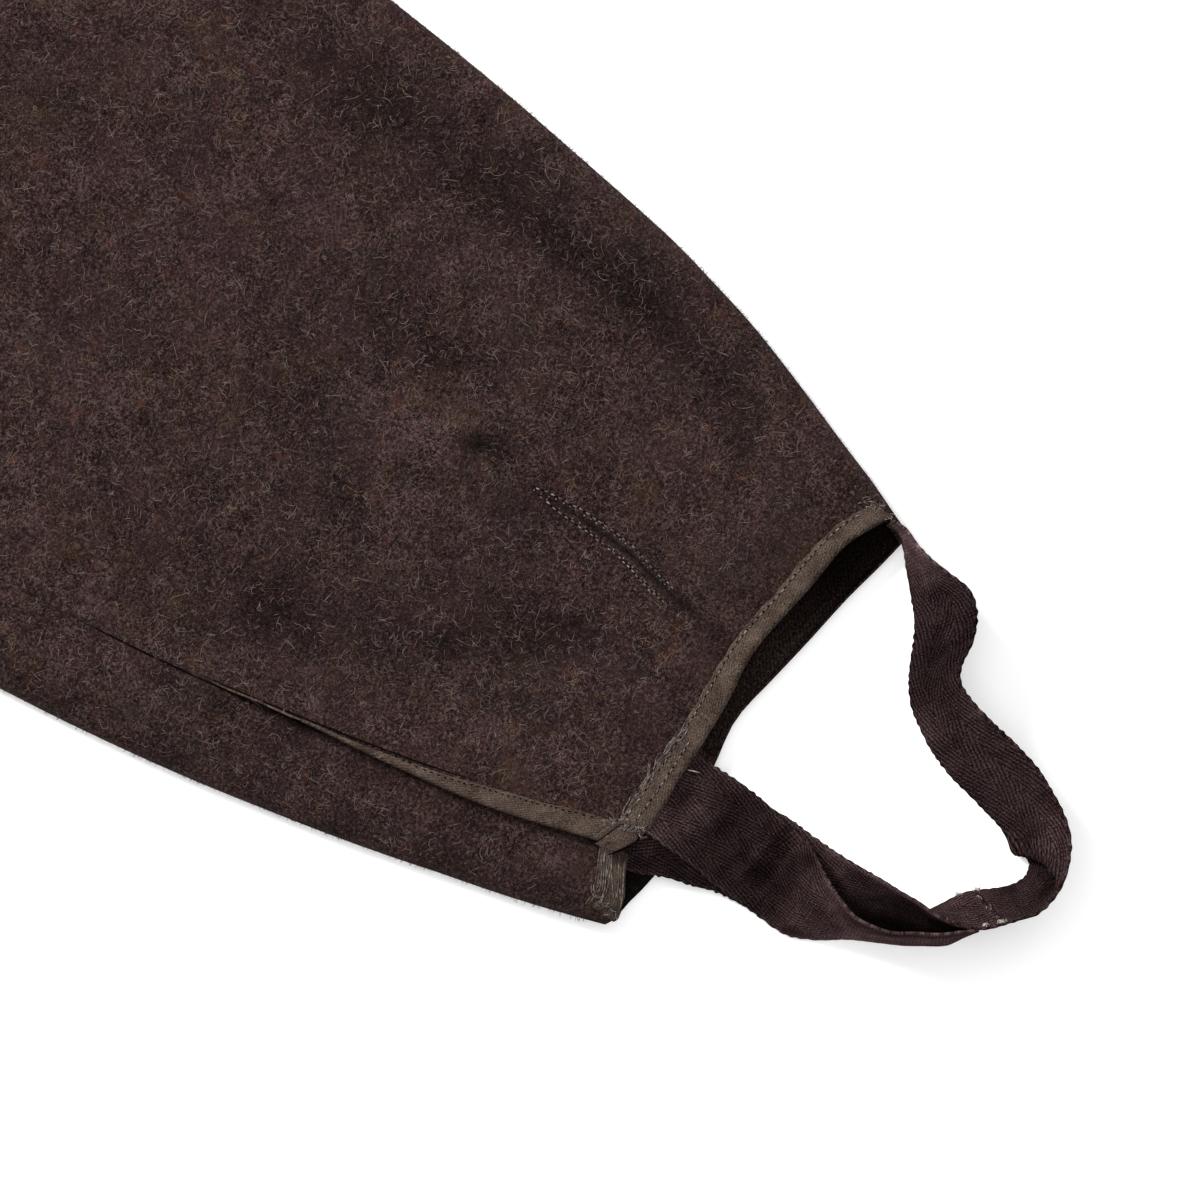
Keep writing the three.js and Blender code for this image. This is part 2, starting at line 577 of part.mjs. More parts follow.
// Strap tape from its table, as a wall about the lines from the lower edge to the raised one
const STRAP_COLUMNS = 3;
function strapTape(name, table, side) {
  const lines = table.map((row) => [
    new THREE.Vector3(...legPlan(row.lowA, row.lowUp), row.z),
    new THREE.Vector3(...legPlan(row.highA, row.highUp), row.z + row.rise),
  ]);
  const rows = lines.map(([low, high], i) => {
    const before = lines[Math.max(i - 1, 0)];
    const after = lines[Math.min(i + 1, lines.length - 1)];
    const run = after[0].clone().add(after[1]).sub(before[0]).sub(before[1]);
    const out = run.cross(high.clone().sub(low)).normalize();
    return Array.from({ length: STRAP_COLUMNS }, (_, c) => {
      const point = low.clone().lerp(high, c / (STRAP_COLUMNS - 1));
      return { mid: [side * point.x, point.y, point.z], out: [side * out.x, out.y, out.z] };
    });
  });
  return wall(name, rows, TAPE, COLOURS.tape);
}

// Waistband: one side from the centre back, round the side fold, to the centre front
const BAND_STEPS = 8;
function waistband(name, side) {
  const rows = [SEAT_HEIGHT, SEAT_HEIGHT + BAND_HEIGHT].map((height) => {
    const end = lerp(HIP_SIDE[HIP_SIDE.length - 1].x, BAND_OUTER_X, (height - SEAT_HEIGHT) / BAND_HEIGHT)
      - BAND_CLOTH / 2 - BAND_FOLD_RADIUS;
    const z = BAND_CLOTH / 2;
    const points = [];
    for (let i = 0; i < BAND_STEPS; i += 1) {
      points.push([lerp(GAP / 2, end, i / BAND_STEPS), z, 0, -1]);
    }
    for (let i = 0; i < FOLD_STEPS; i += 1) {
      const angle = Math.PI * (i / FOLD_STEPS);
      const [sin, cos] = [Math.sin(angle), Math.cos(angle)];
      points.push([end + BAND_FOLD_RADIUS * sin, z + BAND_FOLD_RADIUS * (1 - cos), sin, -cos]);
    }
    for (let i = 0; i <= BAND_STEPS; i += 1) {
      const x = lerp(end, GAP / 2, i / BAND_STEPS);
      const top = z + 2 * BAND_FOLD_RADIUS;
      points.push([x, lerp(BAND_FRONT_Z, top, Math.exp((x - end) / 20)), 0, 1]);
    }
    return points.map(([x, pz, outX, outZ]) => ({
      mid: [side * x, FORK_Y + height, pz],
      out: [side * outX, 0, outZ],
    }));
  });
  return wall(name, rows, BAND_CLOTH, COLOURS.wool);
}

// Closing flap: lies over the centre front and up over the waistband
const FLY_ROWS = [75, 80, 92, 130, 180, 225, 240, 249, 270, 289];
const FLY_COLUMNS = 5;
const FLY_BAND_STEP = 24;
function flyZ(height) {
  const onPanel = frontZ(-halfWidths(FORK_UP + SEAT_HEIGHT - GAP)[0], FORK_UP + SEAT_HEIGHT - GAP)
    + CLOTH + GAP + 0.4;
  const onBand = BAND_FRONT_Z + BAND_CLOTH / 2 + GAP + CLOTH / 2;
  return lerp(onPanel, onBand, ease((height - SEAT_HEIGHT + FLY_BAND_STEP) / (FLY_BAND_STEP - 1)));
}
function flyFlap(name) {
  const rows = FLY_ROWS.map((height) => Array.from({ length: FLY_COLUMNS }, (_, c) => ({
    mid: [lerp(-1, 1, c / (FLY_COLUMNS - 1)) * along(FLY_WIDTHS, 'half', height), FORK_Y + height, flyZ(height)],
    out: [0, 0, 1],
  })));
  return wall(name, rows, CLOTH, COLOURS.wool);
}

// Four-hole button: rings of points about the holes are left to the flat shape's own triangles
function waistButton(name) {
  const disc = new THREE.Shape();
  disc.absarc(0, 0, BUTTON_RADIUS - BUTTON_EDGE, 0, 2 * Math.PI, false);
  for (const [sx, sy] of [[1, 1], [-1, 1], [-1, -1], [1, -1]]) {
    const hole = new THREE.Path();
    hole.absarc(sx * BUTTON_HOLE_SPACING, sy * BUTTON_HOLE_SPACING, BUTTON_HOLE, 0, 2 * Math.PI, true);
    disc.holes.push(hole);
  }
  const options = {
    depth: BUTTON_THICKNESS - 2 * BUTTON_EDGE, curveSegments: 7,
    bevelEnabled: true, bevelThickness: BUTTON_EDGE, bevelSize: BUTTON_EDGE, bevelSegments: 1,
  };
  const geometry = new THREE.ExtrudeGeometry(disc, options);
  const seat = flyZ(SEAT_HEIGHT + BAND_HEIGHT / 2) + CLOTH / 2 + GAP + BUTTON_EDGE;
  geometry.translate(0, FORK_Y + SEAT_HEIGHT + BAND_HEIGHT / 2, seat);
  const mesh = new THREE.Mesh(geometry, new THREE.MeshStandardMaterial(COLOURS.button));
  mesh.name = name;
  return mesh;
}

const group = new THREE.Group();
group.name = 'military_trousers';
for (const [word, side] of [['right', -1], ['left', 1]]) {
  group.add(frontPanel(`front_${word}`, side));
  group.add(backPanel(`back_${word}`, side));
  group.add(waistband(`waistband_${word}`, side));
  group.add(hemBinding(`front_hem_binding_${word}`, side));
  group.add(ventBinding(`vent_binding_${word}`, side));
  group.add(backHemBinding(`back_hem_binding_${word}`, side));
  group.add(backHemFacing(`back_hem_facing_${word}`, side));
  group.add(strapTape(`strap_front_${word}`, STRAP_FRONT, side));
  group.add(strapTape(`strap_back_${word}`, STRAP_BACK, side));
  group.add(strapTape(`strap_loop_${word}`, STRAP_LOOP, side));
}
group.add(flyFlap('fly_flap'));
group.add(waistButton('waist_button'));

export default group;
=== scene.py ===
import bpy
import numpy as np
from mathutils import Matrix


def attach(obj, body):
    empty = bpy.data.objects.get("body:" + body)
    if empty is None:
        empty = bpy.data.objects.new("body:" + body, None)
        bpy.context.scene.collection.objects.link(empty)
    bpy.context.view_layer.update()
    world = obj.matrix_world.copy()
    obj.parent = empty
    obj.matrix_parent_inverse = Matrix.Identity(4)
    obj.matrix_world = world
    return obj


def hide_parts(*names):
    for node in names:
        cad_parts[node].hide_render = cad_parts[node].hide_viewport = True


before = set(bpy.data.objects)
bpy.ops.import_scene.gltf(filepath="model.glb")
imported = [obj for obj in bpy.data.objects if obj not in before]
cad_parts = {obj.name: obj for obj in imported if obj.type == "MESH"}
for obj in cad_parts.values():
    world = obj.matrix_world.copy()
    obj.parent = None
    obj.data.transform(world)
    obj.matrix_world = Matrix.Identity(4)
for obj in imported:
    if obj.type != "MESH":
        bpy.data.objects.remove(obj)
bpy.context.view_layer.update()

# The table and the light: a plain white table top seen from straight above, which gives off a little
# light itself. A soft lamp stands on the side of the outer leg, with a weaker one overhead, and the
# camera frames the right ankle.
TABLE_HALF = 4.0
TABLE_DROP = 0.0006
SKY_STRENGTH = 0.50
CAMERA_PLACE = (-0.2331, -0.4071, 9.6)
CAMERA_TURN = -62.5
FRAME_WIDTH = 0.3785
SENSOR = 36.0


def new_object(name, data):
    """One object with the given mesh, lamp or camera, linked to the scene."""
    made = bpy.data.objects.new(name, data)
    bpy.context.scene.collection.objects.link(made)
    return made


def mesh_object(name, points, quads, material, uv=None, tone=None):
    """One object at the origin from points in metres and rows of four corner numbers; a tone for each
    point, one where none is given, lets the material carry painted shade and light and random tone."""
    mesh = bpy.data.meshes.new(name)
    quads = np.asarray(quads, dtype=np.int32).reshape(-1, 4)
    mesh.vertices.add(len(points))
    mesh.vertices.foreach_set("co", np.asarray(points, dtype=np.float32).ravel())
    mesh.loops.add(quads.size)
    mesh.loops.foreach_set("vertex_index", quads.ravel())
    mesh.polygons.add(len(quads))
    mesh.polygons.foreach_set("loop_start", np.arange(0, quads.size, 4, dtype=np.int32))
    mesh.update(calc_edges=True)
    mesh.polygons.foreach_set("use_smooth", np.ones(len(quads), dtype=bool))
    if uv is not None:
        layer = mesh.uv_layers.new(name="UVMap")
        layer.data.foreach_set("uv", np.asarray(uv, dtype=np.float32)[quads.ravel()].ravel())
    shade = mesh.attributes.new("tone", "FLOAT", "POINT")
    shade.data.foreach_set("value", np.asarray(
        np.ones(len(points)) if tone is None else tone, dtype=np.float32).ravel())
    mesh.materials.append(material)
    mesh.validate()
    return new_object(name, mesh)


def add_node(tree, kind, inputs=None, **settings):
    """One shader node with its settings; an input given as a socket is linked."""
    made = tree.nodes.new(kind)
    for key, value in settings.items():
        setattr(made, key, value)
    for key, value in (inputs or {}).items():
        if isinstance(value, bpy.types.NodeSocket):
            tree.links.new(value, made.inputs[key])
        else:
            made.inputs[key].default_value = value
    return made


def new_material(name, **surface):
    """A material with the given sockets of its surface set, its node tree and its surface node."""
    material = bpy.data.materials.new(name)
    material.use_nodes = True
    shader = material.node_tree.nodes["Principled BSDF"]
    for key, value in surface.items():
        shader.inputs[key.replace("_", " ")].default_value = value
    return material, material.node_tree, shader


def ramp(tree, factor, stops):
    """Colour ramp through (place, colour) stops, read at the factor."""
    made = add_node(tree, "ShaderNodeValToRGB", {"Fac": factor})
    elements = made.color_ramp.elements
    while len(elements) < len(stops):
        elements.new(0.5)
    for element, (place, colour) in zip(elements, stops):
        element.position = place
        element.color = (*colour, 1.0)
    return made.outputs["Color"]


def maths(tree, operation, a, b=0.0, clamp=False):
    """One sum on values or sockets."""
    made = add_node(tree, "ShaderNodeMath", {0: a, 1: b}, operation=operation, use_clamp=clamp)
    return made.outputs[0]


def mix_colour(tree, factor, a, b, mode="MIX"):
    """Two colours mixed by the factor."""
    made = add_node(tree, "ShaderNodeMix", {0: factor, 6: a, 7: b}, data_type="RGBA", blend_type=mode)
    return made.outputs[2]


def noise(tree, vector, scale, detail=2.0, roughness=0.5, distortion=0.0):
    """Value of a noise with the given size in marks a metre."""
    made = add_node(tree, "ShaderNodeTexNoise", {
        "Vector": vector, "Scale": scale, "Detail": detail, "Roughness": roughness,
        "Distortion": distortion,
    })
    return made.outputs["Fac"]


def place_on(tree, kind="Object"):
    """Place on the object in metres, or on its own flat map."""
    return add_node(tree, "ShaderNodeTexCoord").outputs[kind]


def speckled(name, scale, stops, detail=2.0, roughness=0.5, distortion=0.0, **surface):
    """A material whose colour is one noise over the object, read through colour stops."""
    material, tree, shader = new_material(name, **surface)
    value = noise(tree, place_on(tree), scale, detail, roughness, distortion)
    tree.links.new(ramp(tree, value, stops), shader.inputs["Base Color"])
    return material


table = mesh_object("table_top", [
    (x * TABLE_HALF, y * TABLE_HALF, -TABLE_DROP) for x, y in ((-1, -1), (1, -1), (1, 1), (-1, 1))
], [(0, 1, 2, 3)], speckled(
    "table_top", 3.0, [(0.3, (0.86, 0.86, 0.86)), (0.7, (0.90, 0.90, 0.90))], Roughness=0.9,
    Specular_IOR_Level=0.1, Emission_Color=(1, 1, 1, 1), Emission_Strength=0.30))


def soft_light(name, place, aim, size, power):
    """Square lamp at a place, turned to an aim point."""
    lamp = bpy.data.lights.new(name, "AREA")
    lamp.shape = "SQUARE"
    lamp.size = size
    lamp.energy = power
    made = new_object(name, lamp)
    made.location = place
    away = np.array(place) - np.array(aim)
    across = np.hypot(away[0], away[1])
    made.rotation_euler = (np.arctan2(across, away[2]), 0.0, np.arctan2(away[1], away[0]) + np.pi / 2)


soft_light("key_light", (0.35, 1.95, 1.6), (-0.2, -0.3, 0.0), size=0.9, power=128.0)
soft_light("overhead_light", (0.3, -0.6, 3.0), (-0.1, -0.2, 0.0), size=3.0, power=52.0)
world = bpy.data.worlds.new("studio")
world.use_nodes = True
sky = world.node_tree.nodes["Background"]
sky.inputs["Color"].default_value = (1.0, 1.0, 1.0, 1.0)
sky.inputs["Strength"].default_value = SKY_STRENGTH
bpy.context.scene.world = world
bpy.context.scene.view_settings.view_transform = "Standard"

lens = bpy.data.cameras.new("camera")
lens.sensor_width = SENSOR
lens.lens = SENSOR * CAMERA_PLACE[2] / FRAME_WIDTH
camera = new_object("camera", lens)
camera.location = CAMERA_PLACE
camera.rotation_euler = (0.0, 0.0, np.radians(CAMERA_TURN))
bpy.context.scene.camera = camera

# The two fronts: one piece of thick fulled wool for each leg, from the hem to under the waistband.
# The inseam is a fold's edge rolled down to the back, the side seam is butted, and the ankle end
# of the side is open as a vent. A dart is sewn into the ankle with two rows of stitches.
MM = 0.001
CLOTH = 2.0
TAPE = 1.0
GAP = 0.3
SIDES = (("right", -1), ("left", 1))
FOLD_RADIUS = 2.9
ROLL_RADIUS = CLOTH / 2 + FOLD_RADIUS
FORK_Y = 289.0
HEM_X = 244.0
HEM_Y = -467.0
LEG_TURN = np.radians(6.0)
FORK_UP = 768.0
SEAT_HEIGHT = 250.0
INNER_WIDTHS = [
    (-12, 74.0), (0, 78.8), (10, 82.9), (25, 88.2), (40, 93.7), (55, 99.0), (70, 103.8), (87, 108.0),
    (105, 112.0), (142, 117.4), (180, 122.3), (220, 126.0), (320, 134.0), (475, 147.0), (620, 156.0),
    (768, 163.2),
]
OUTER_WIDTHS = [
    (-12, 74.8), (0, 78.9), (10, 82.3), (25, 87.0), (40, 91.2), (55, 95.0), (70, 99.0), (87, 103.2),
    (105, 107.2), (142, 114.6), (180, 120.4), (220, 125.0), (320, 137.0), (475, 149.0), (620, 158.0),
    (768, 166.0),
]
HIP_SIDE_X = [(0, 329), (55, 321), (110, 302), (160, 275), (205, 244), (250, 213)]
HIP_SIDE_UP = [(0, 38), (55, 88), (110, 137), (160, 179), (205, 216), (250, 250)]
FRONT_HEM = [
    (-79, -0.8), (-73, 1.7), (-61, 7.0), (-46, 8.8), (-27, 11.7), (-21, 12.5), (-12, 12.4), (-3, 11.1),
    (17, 10.1), (29, 10.1), (42, 9.1), (48, 9.6), (56, 12.8),
]
HEM_FADE = 80.0
SIDE_STRIP = 31.0
VENT_TOP = 118.0
SEAM_START = 150.0
VENT_BINDING_SHOWS = [(-2, 8.6), (19, 7.5), (53, 6.0), (82, 3.2), (118, 1.3)]
VENT_STACK = 3.8
STRIP_DROP = 1.2
STRIP_HEM_DROP = 2.6
FRONT_Z = 5.0
FRONT_HEM_Z = 8.6
LEVEL_START = 14.0
LEVEL_RUN = 60.0
HEM_EDGE_UP = 8.0
HEM_EDGE_RUN = 30.0
SEAM_CLOSED = 0.93
SEAM_CLOSE_START = 170.0
SEAM_CLOSE_RUN = 50.0
INSEAM_RISE_REACH = 14.0
SIDE_RISE_REACH = 16.0
VENT_LIFT_REACH = 20.0
# Soft creases as lines of (across, up, half width, height)
FRONT_CREASES = [
    [(-104, 262, 13, -0.5), (-99, 210, 13, -1.4), (-95, 158, 12, -1.7), (-91, 98, 11, -1.8),
     (-83, 66, 11, -1.4), (-68, 46, 9, -1.0), (-50, 32, 7, -0.4)],
    [(70, 182, 9, -0.4), (61, 154, 11, -1.2), (41, 106, 14, -1.6), (16, 68, 12, -1.5),
     (-6, 36, 9, -0.9)],
    [(91, 185, 9, 0.5), (89, 169, 9, 1.1), (67, 88, 8, 1.1), (50, 24, 7, 0.7)],
    [(-14, 139, 9, 1.6), (-19, 126, 10, 2.0)],
    [(-24, 119, 4.5, -3.2), (-27, 112, 5, -1.8)],
    [(-43, 175, 9, -0.5), (-43, 151, 9, -1.1), (-40, 128, 8, -0.5)],
    [(-20, 186, 8, -0.4), (-8, 169, 8, -1.1), (12, 144, 8, -1.1), (24, 130, 8, -0.4)],
    [(-70, 330, 20, 1.3), (50, 300, 20, 1.3)],
    [(90, 400, 18, -0.9), (-20, 440, 18, -0.9)],
    [(-110, 560, 22, 1.2), (20, 500, 22, 1.2)],
    [(-130, 720, 24, 1.4), (30, 620, 24, 1.4)],
    [(-120, 780, 18, -0.9), (90, 760, 18, -0.9)],
    [(-40, 830, 20, 1.2), (110, 880, 20, 1.2)],
]
DART_GROOVE = [[
    (-21.8, 101, 1.3, -0.4), (-22.6, 84, 1.3, -1.0), (-22.6, 72, 1.4, -1.5), (-21.7, 56, 1.5, -1.6),
    (-19.4, 42, 1.7, -1.5), (-17.6, 26, 2.2, -1.2), (-16.5, 13, 3.0, -0.9)]]
CREASE_DEPTH = 1.35
# Painted shade in the creases' troughs and the dart's groove, and painted highlight on the ridges
TROUGH_SHADE = 0.30
RIDGE_LIGHT = 0.08
GROOVE_SHADE = 0.48


def along(rows, at):
    """Value of a table at the given places: a cubic through its rows, each row's slope that of its
    two neighbours."""
    x, y = np.asarray(rows, dtype=float).T
    slope = np.gradient(y, x)
    slope[1:-1] = (y[2:] - y[:-2]) / (x[2:] - x[:-2])
    i = np.clip(np.searchsorted(x, at, side="left") - 1, 0, len(x) - 2)
    span = x[i + 1] - x[i]
    t = np.clip((at - x[i]) / span, 0, 1)
    return ((2 * t**3 - 3 * t**2 + 1) * y[i] + (t**3 - 2 * t**2 + t) * span * slope[i]
            + (3 * t**2 - 2 * t**3) * y[i + 1] + (t**3 - t**2) * span * slope[i + 1])


def ease(t):
    """Smooth step from 0 to 1."""
    t = np.clip(t, 0, 1)
    return t * t * (3 - 2 * t)


def leg_plan(a, up):
    """Plan point of the leg from the distance out from its middle line and the height above the hem:
    both turned by the leg's slant about the hem's middle."""
    return (HEM_X - up * np.sin(LEG_TURN) + a * np.cos(LEG_TURN),
            HEM_Y + up * np.cos(LEG_TURN) + a * np.sin(LEG_TURN))


def hip_ends(v):
    """Ends of a row above the fork: the centre seam and the point of the side fold."""
    height = np.maximum(v - FORK_UP, 0)
    return (GAP / 2, FORK_Y + height, along(HIP_SIDE_X, height), FORK_Y + along(HIP_SIDE_UP, height))


def half_widths(v):
    """Distances from a row's middle line to its two ends, along the leg and above the fork."""
    x0, y0, x1, y1 = hip_ends(v)
    half = np.hypot(x1 - x0, y1 - y0) / 2
    return [np.where(v <= FORK_UP, along(widths, v), half) for widths in (INNER_WIDTHS, OUTER_WIDTHS)]


def panel_plan(a, v, hem):
    """Plan point at distance a across row v: near the hem the row moves up by the hem line, fading
    out with height, and its ends keep to the leg's folds."""
    up = v + along(hem, a) * (1 - ease(v / HEM_FADE))
    nominal = np.where(a < 0, half_widths(v)[0], half_widths(v)[1])
    moved = np.where(a < 0, half_widths(up)[0], half_widths(up)[1])
    x, y = leg_plan(a + np.sign(a) * (moved - nominal) * np.abs(a / nominal) ** 6, up)
    x0, y0, x1, y1 = hip_ends(v)
    half = half_widths(v)[0]
    t = (a + half) / (2 * half)
    on_leg = v <= FORK_UP
    return np.where(on_leg, x, x0 + (x1 - x0) * t), np.where(on_leg, y, y0 + (y1 - y0) * t)


def back_z(v):
    """Height of the back's middle: flat on the table, raised at the hem by its folded edge."""
    return CLOTH / 2 + (TAPE + GAP) * (1 - ease((v - HEM_EDGE_UP) / HEM_EDGE_RUN))


def vent_opening(v):
    """1 along the open vent, easing to 0 where the side seam starts."""
    return 1 - ease((v - VENT_TOP) / (SEAM_START - VENT_TOP))


def strip_drop(v):
    """How far the side strip lies below the front's level beside the vent."""
    mixed = ease((v - LEVEL_START) / LEVEL_RUN)
    return (STRIP_HEM_DROP + (STRIP_DROP - STRIP_HEM_DROP) * mixed) * vent_opening(v)


def vent_edge(v):
    """Distance out to the vent, and above it to the side seam."""
    return half_widths(v)[1] - SIDE_STRIP


def seam_gap(v):
    """Half the open line along the side seam, which the nap closes above the vent."""
    return GAP / 2 * (1 - SEAM_CLOSED * ease((v - SEAM_CLOSE_START) / SEAM_CLOSE_RUN))


def front_edge(v):
    """Distance out to the cut edge of the front: inside its binding, then at the side seam."""
    in_binding = along(VENT_BINDING_SHOWS, v) - TAPE - GAP
    return vent_edge(v) + np.where(v <= VENT_TOP + 1, in_binding, -seam_gap(v))


def upper_z(a, v):
    """Height of the upper layer's middle: level, rising to the folds at the inseam and the side."""
    inner, outer = half_widths(v)
    base = FRONT_HEM_Z + (FRONT_Z - FRONT_HEM_Z) * ease((v - LEVEL_START) / LEVEL_RUN)
    from_side = np.maximum(outer - ROLL_RADIUS - a, 0)
    from_inseam = np.maximum(a + inner - ROLL_RADIUS, 0)
    at_inseam = np.where(v <= FORK_UP, np.exp(-from_inseam / INSEAM_RISE_REACH), 0)
    rise = at_inseam + np.exp(-from_side / SIDE_RISE_REACH)
    return base + (back_z(v) + 2 * FOLD_RADIUS - base) * rise


def crease_height(creases, a, v):
    """Sum of soft creases: each is a bell-shaped ridge or trough about the nearest point of its
    line, with the half width and height of that point; of a crease's parts the strongest counts."""
    total = np.zeros(np.broadcast(a, v).shape)
    for line in creases:
        strongest = np.zeros_like(total)
        for (a0, v0, half0, height0), (a1, v1, half1, height1) in zip(line[:-1], line[1:]):
            da, dv = a1 - a0, v1 - v0
            t = np.clip(((a - a0) * da + (v - v0) * dv) / (da * da + dv * dv), 0, 1)
            distance = np.hypot(a - a0 - da * t, v - v0 - dv * t)
            width = half0 + (half1 - half0) * t
            part = (height0 + (height1 - height0) * t) * np.exp(-((distance / width) ** 2))
            strongest = np.where(np.abs(part) > np.abs(strongest), part, strongest)
        total += strongest
    return total


def drift(x, y, size, seed):
    """Gentle unevenness: the sum of fourteen waves with seeded directions, phases and lengths."""
    dice = np.random.default_rng(seed)
    total = 0
    for _ in range(14):
        angle, phase = dice.uniform(0, 6.28), dice.uniform(0, 6.28)
        length = size * dice.uniform(0.7, 1.7)
        total = total + np.cos((x * np.cos(angle) + y * np.sin(angle)) * 6.28 / length + phase)
    return total / 5


def moved_creases(creases):
    """The same kind of creases a little longer, softer and shifted, for the other leg."""
    return [[(a * 0.93 + 4, v * 1.04 + 5, half * 1.1, height * 0.85) for a, v, half, height in line]
            for line in creases]


def front_z(a, v, side):
    """Height of the front's middle: the upper layer lifted at the vent, with its creases and a
    slight unevenness that fade out at the edges."""
    inner, outer = half_widths(v)
    near_vent = np.exp(-np.maximum(vent_edge(v) - a, 0) / VENT_LIFT_REACH)
    lift = (VENT_STACK - strip_drop(v)) * vent_opening(v) * near_vent
    clear = np.minimum((a + inner - 4) / 14, (outer - SIDE_STRIP - a + 4) / 12)
    creases = FRONT_CREASES if side < 0 else moved_creases(FRONT_CREASES)
    uneven = 0.30 * drift(a, v, 38, 11 + side) + 0.12 * drift(a, v, 12, 21 + side)
    folded = CREASE_DEPTH * crease_height(creases, a, v) + crease_height(DART_GROOVE, a, v) + uneven
    return upper_z(a, v) + lift + folded * ease(clear) * ease((v - 3) / 26)


def front_tone(a, v, side):
    """Tone of the front's wool: painted shade in its troughs and most in the dart's groove, and a
    little painted highlight on the ridges and along the inseam's folded edge; its patches are random."""
    creases = FRONT_CREASES if side < 0 else moved_creases(FRONT_CREASES)
    height = crease_height(creases, a, v)
    # painted shade in the troughs, painted highlight on the ridges
    height = height * np.where(height < 0, TROUGH_SHADE, RIDGE_LIGHT)
    # painted highlight along the inseam's folded edge
    fold_shading = 0.30 * np.exp(-(((a + half_widths(v)[0]) / 3) ** 2))
    patches = 0.10 * drift(a, v, 60, 31 + side) + 0.06 * drift(a, v, 24, 35 + side)
    # painted shade in the dart's groove
    groove_shade_factor = 1 + GROOVE_SHADE * crease_height(DART_GROOVE, a, v)
    return np.clip((1 + height + patches + fold_shading) * groove_shade_factor, 0.2, 1.5)


def unit(vectors):
    """Vectors brought to a length of one."""
    return vectors / np.maximum(np.linalg.norm(vectors, axis=-1, keepdims=True), 1e-9)


def shell(name, grid, thickness, material, uv=None, tone=None):
    """Closed wall of even thickness about a grid of middle points in mm: both faces lie half the
    thickness off along the grid's normals, and a rim of quads joins them."""
    rows, columns = grid.shape[:2]
    normal = unit(np.cross(np.gradient(grid, axis=1), np.gradient(grid, axis=0)))
    off = normal * thickness / 2
    points = np.concatenate([grid + off, grid - off]).reshape(-1, 3)
    index = np.arange(rows * columns).reshape(rows, columns)
    face = np.stack([index[:-1, :-1], index[:-1, 1:], index[1:, 1:], index[1:, :-1]], axis=-1)
    face = face.reshape(-1, 4)
    ring = np.concatenate([index[0, :-1], index[:-1, -1], index[-1, :0:-1], index[:0:-1, 0]])
    after = np.roll(ring, -1)
    rim = np.stack([after, ring, ring + rows * columns, after + rows * columns], axis=-1)
    quads = np.concatenate([face, face[:, ::-1] + rows * columns, rim])
    p = points[quads]
    volume = np.einsum("ij,ij->", p[:, 0], np.cross(p[:, 1], p[:, 2])) + np.einsum(
        "ij,ij->", p[:, 0], np.cross(p[:, 2], p[:, 3]))
    if volume < 0:
        quads = quads[:, ::-1]
    if uv is not None:
        uv = np.concatenate([uv.reshape(-1, 2), uv.reshape(-1, 2)])
    if tone is not None:
        tone = np.tile(tone.ravel(), 2)
    return mesh_object(name, points * MM, quads, material, uv, tone)


def toned(tree, colour):
    """Node colour multiplied by the tone stored on the mesh, which carries painted shade and light."""
    return mix_colour(tree, 1.0, colour, add_node(
        tree, "ShaderNodeAttribute", attribute_name="tone").outputs["Fac"], "MULTIPLY")


def placed(side, x, y, z):
    """Grid of points in mm for one side of the garment."""
    x, y, z = np.broadcast_arrays(x, y, z)
    return np.stack([side * x, y, z], axis=-1)


def weighted(tree, *terms):
    """Sum of values or sockets, each times its weight."""
    total = 0.0
    for value, weight in terms:
        total = add_node(tree, "ShaderNodeMath", {0: value, 1: weight, 2: total},
                         operation="MULTIPLY_ADD").outputs[0]
    return total


def map_range(tree, value, low, high, first, last):
    """Value carried over from one range to another, and kept inside it."""
    return add_node(tree, "ShaderNodeMapRange", {
        "Value": value, "From Min": low, "From Max": high, "To Min": first, "To Max": last,
    }).outputs["Result"]


def surface(tree, shader, colour, height, strength, depth):
    """Give a surface its colour, and fine relief from a height in marks of the given depth."""
    tree.links.new(colour, shader.inputs["Base Color"])
    relief = add_node(tree, "ShaderNodeBump", {
        "Height": height, "Strength": strength, "Distance": depth})
    tree.links.new(relief.outputs["Normal"], shader.inputs["Normal"])


# Shader group: short curled fibres, as thin level lines of a warped noise, broken by a second one
fibres = bpy.data.node_groups.new("loose_fibres", "ShaderNodeTree")
fibres.interface.new_socket(name="Vector", in_out="INPUT", socket_type="NodeSocketVector")
for socket, default in (("Size", 300.0), ("Width", 0.03), ("Cover", 0.5)):
    made = fibres.interface.new_socket(name=socket, in_out="INPUT", socket_type="NodeSocketFloat")
    made.default_value = default
fibres.interface.new_socket(name="Strand", in_out="OUTPUT", socket_type="NodeSocketFloat")
given = fibres.nodes.new("NodeGroupInput").outputs
level = noise(fibres, given["Vector"], given["Size"], 0.0, 0.5, 1.6)
off_line = maths(fibres, "ABSOLUTE", maths(fibres, "SUBTRACT", level, 0.5))
line = maths(fibres, "SUBTRACT", 1.0, maths(fibres, "DIVIDE", off_line, given["Width"]), True)
breaks = noise(fibres, given["Vector"], maths(fibres, "MULTIPLY", given["Size"], 1.9), 1.0)
unbroken = maths(fibres, "MULTIPLY", maths(
    fibres, "ADD", maths(fibres, "SUBTRACT", breaks, 1.0), given["Cover"]), 8.0, True)
fibres.links.new(maths(fibres, "MULTIPLY", line, unbroken),
                 fibres.nodes.new("NodeGroupOutput").inputs["Strand"])


def fibre_layer(tree, vector, turn, size, width, cover):
    """Mask of one layer of curled fibres, turned and shifted from the other layers."""
    mapped = add_node(tree, "ShaderNodeMapping", {
        "Vector": vector, "Rotation": (0.0, 0.0, turn), "Location": (turn, turn * 1.7, 0.0)})
    return add_node(tree, "ShaderNodeGroup", {
        "Vector": mapped.outputs["Vector"], "Size": size, "Width": width, "Cover": cover,
    }, node_tree=fibres).outputs["Strand"]


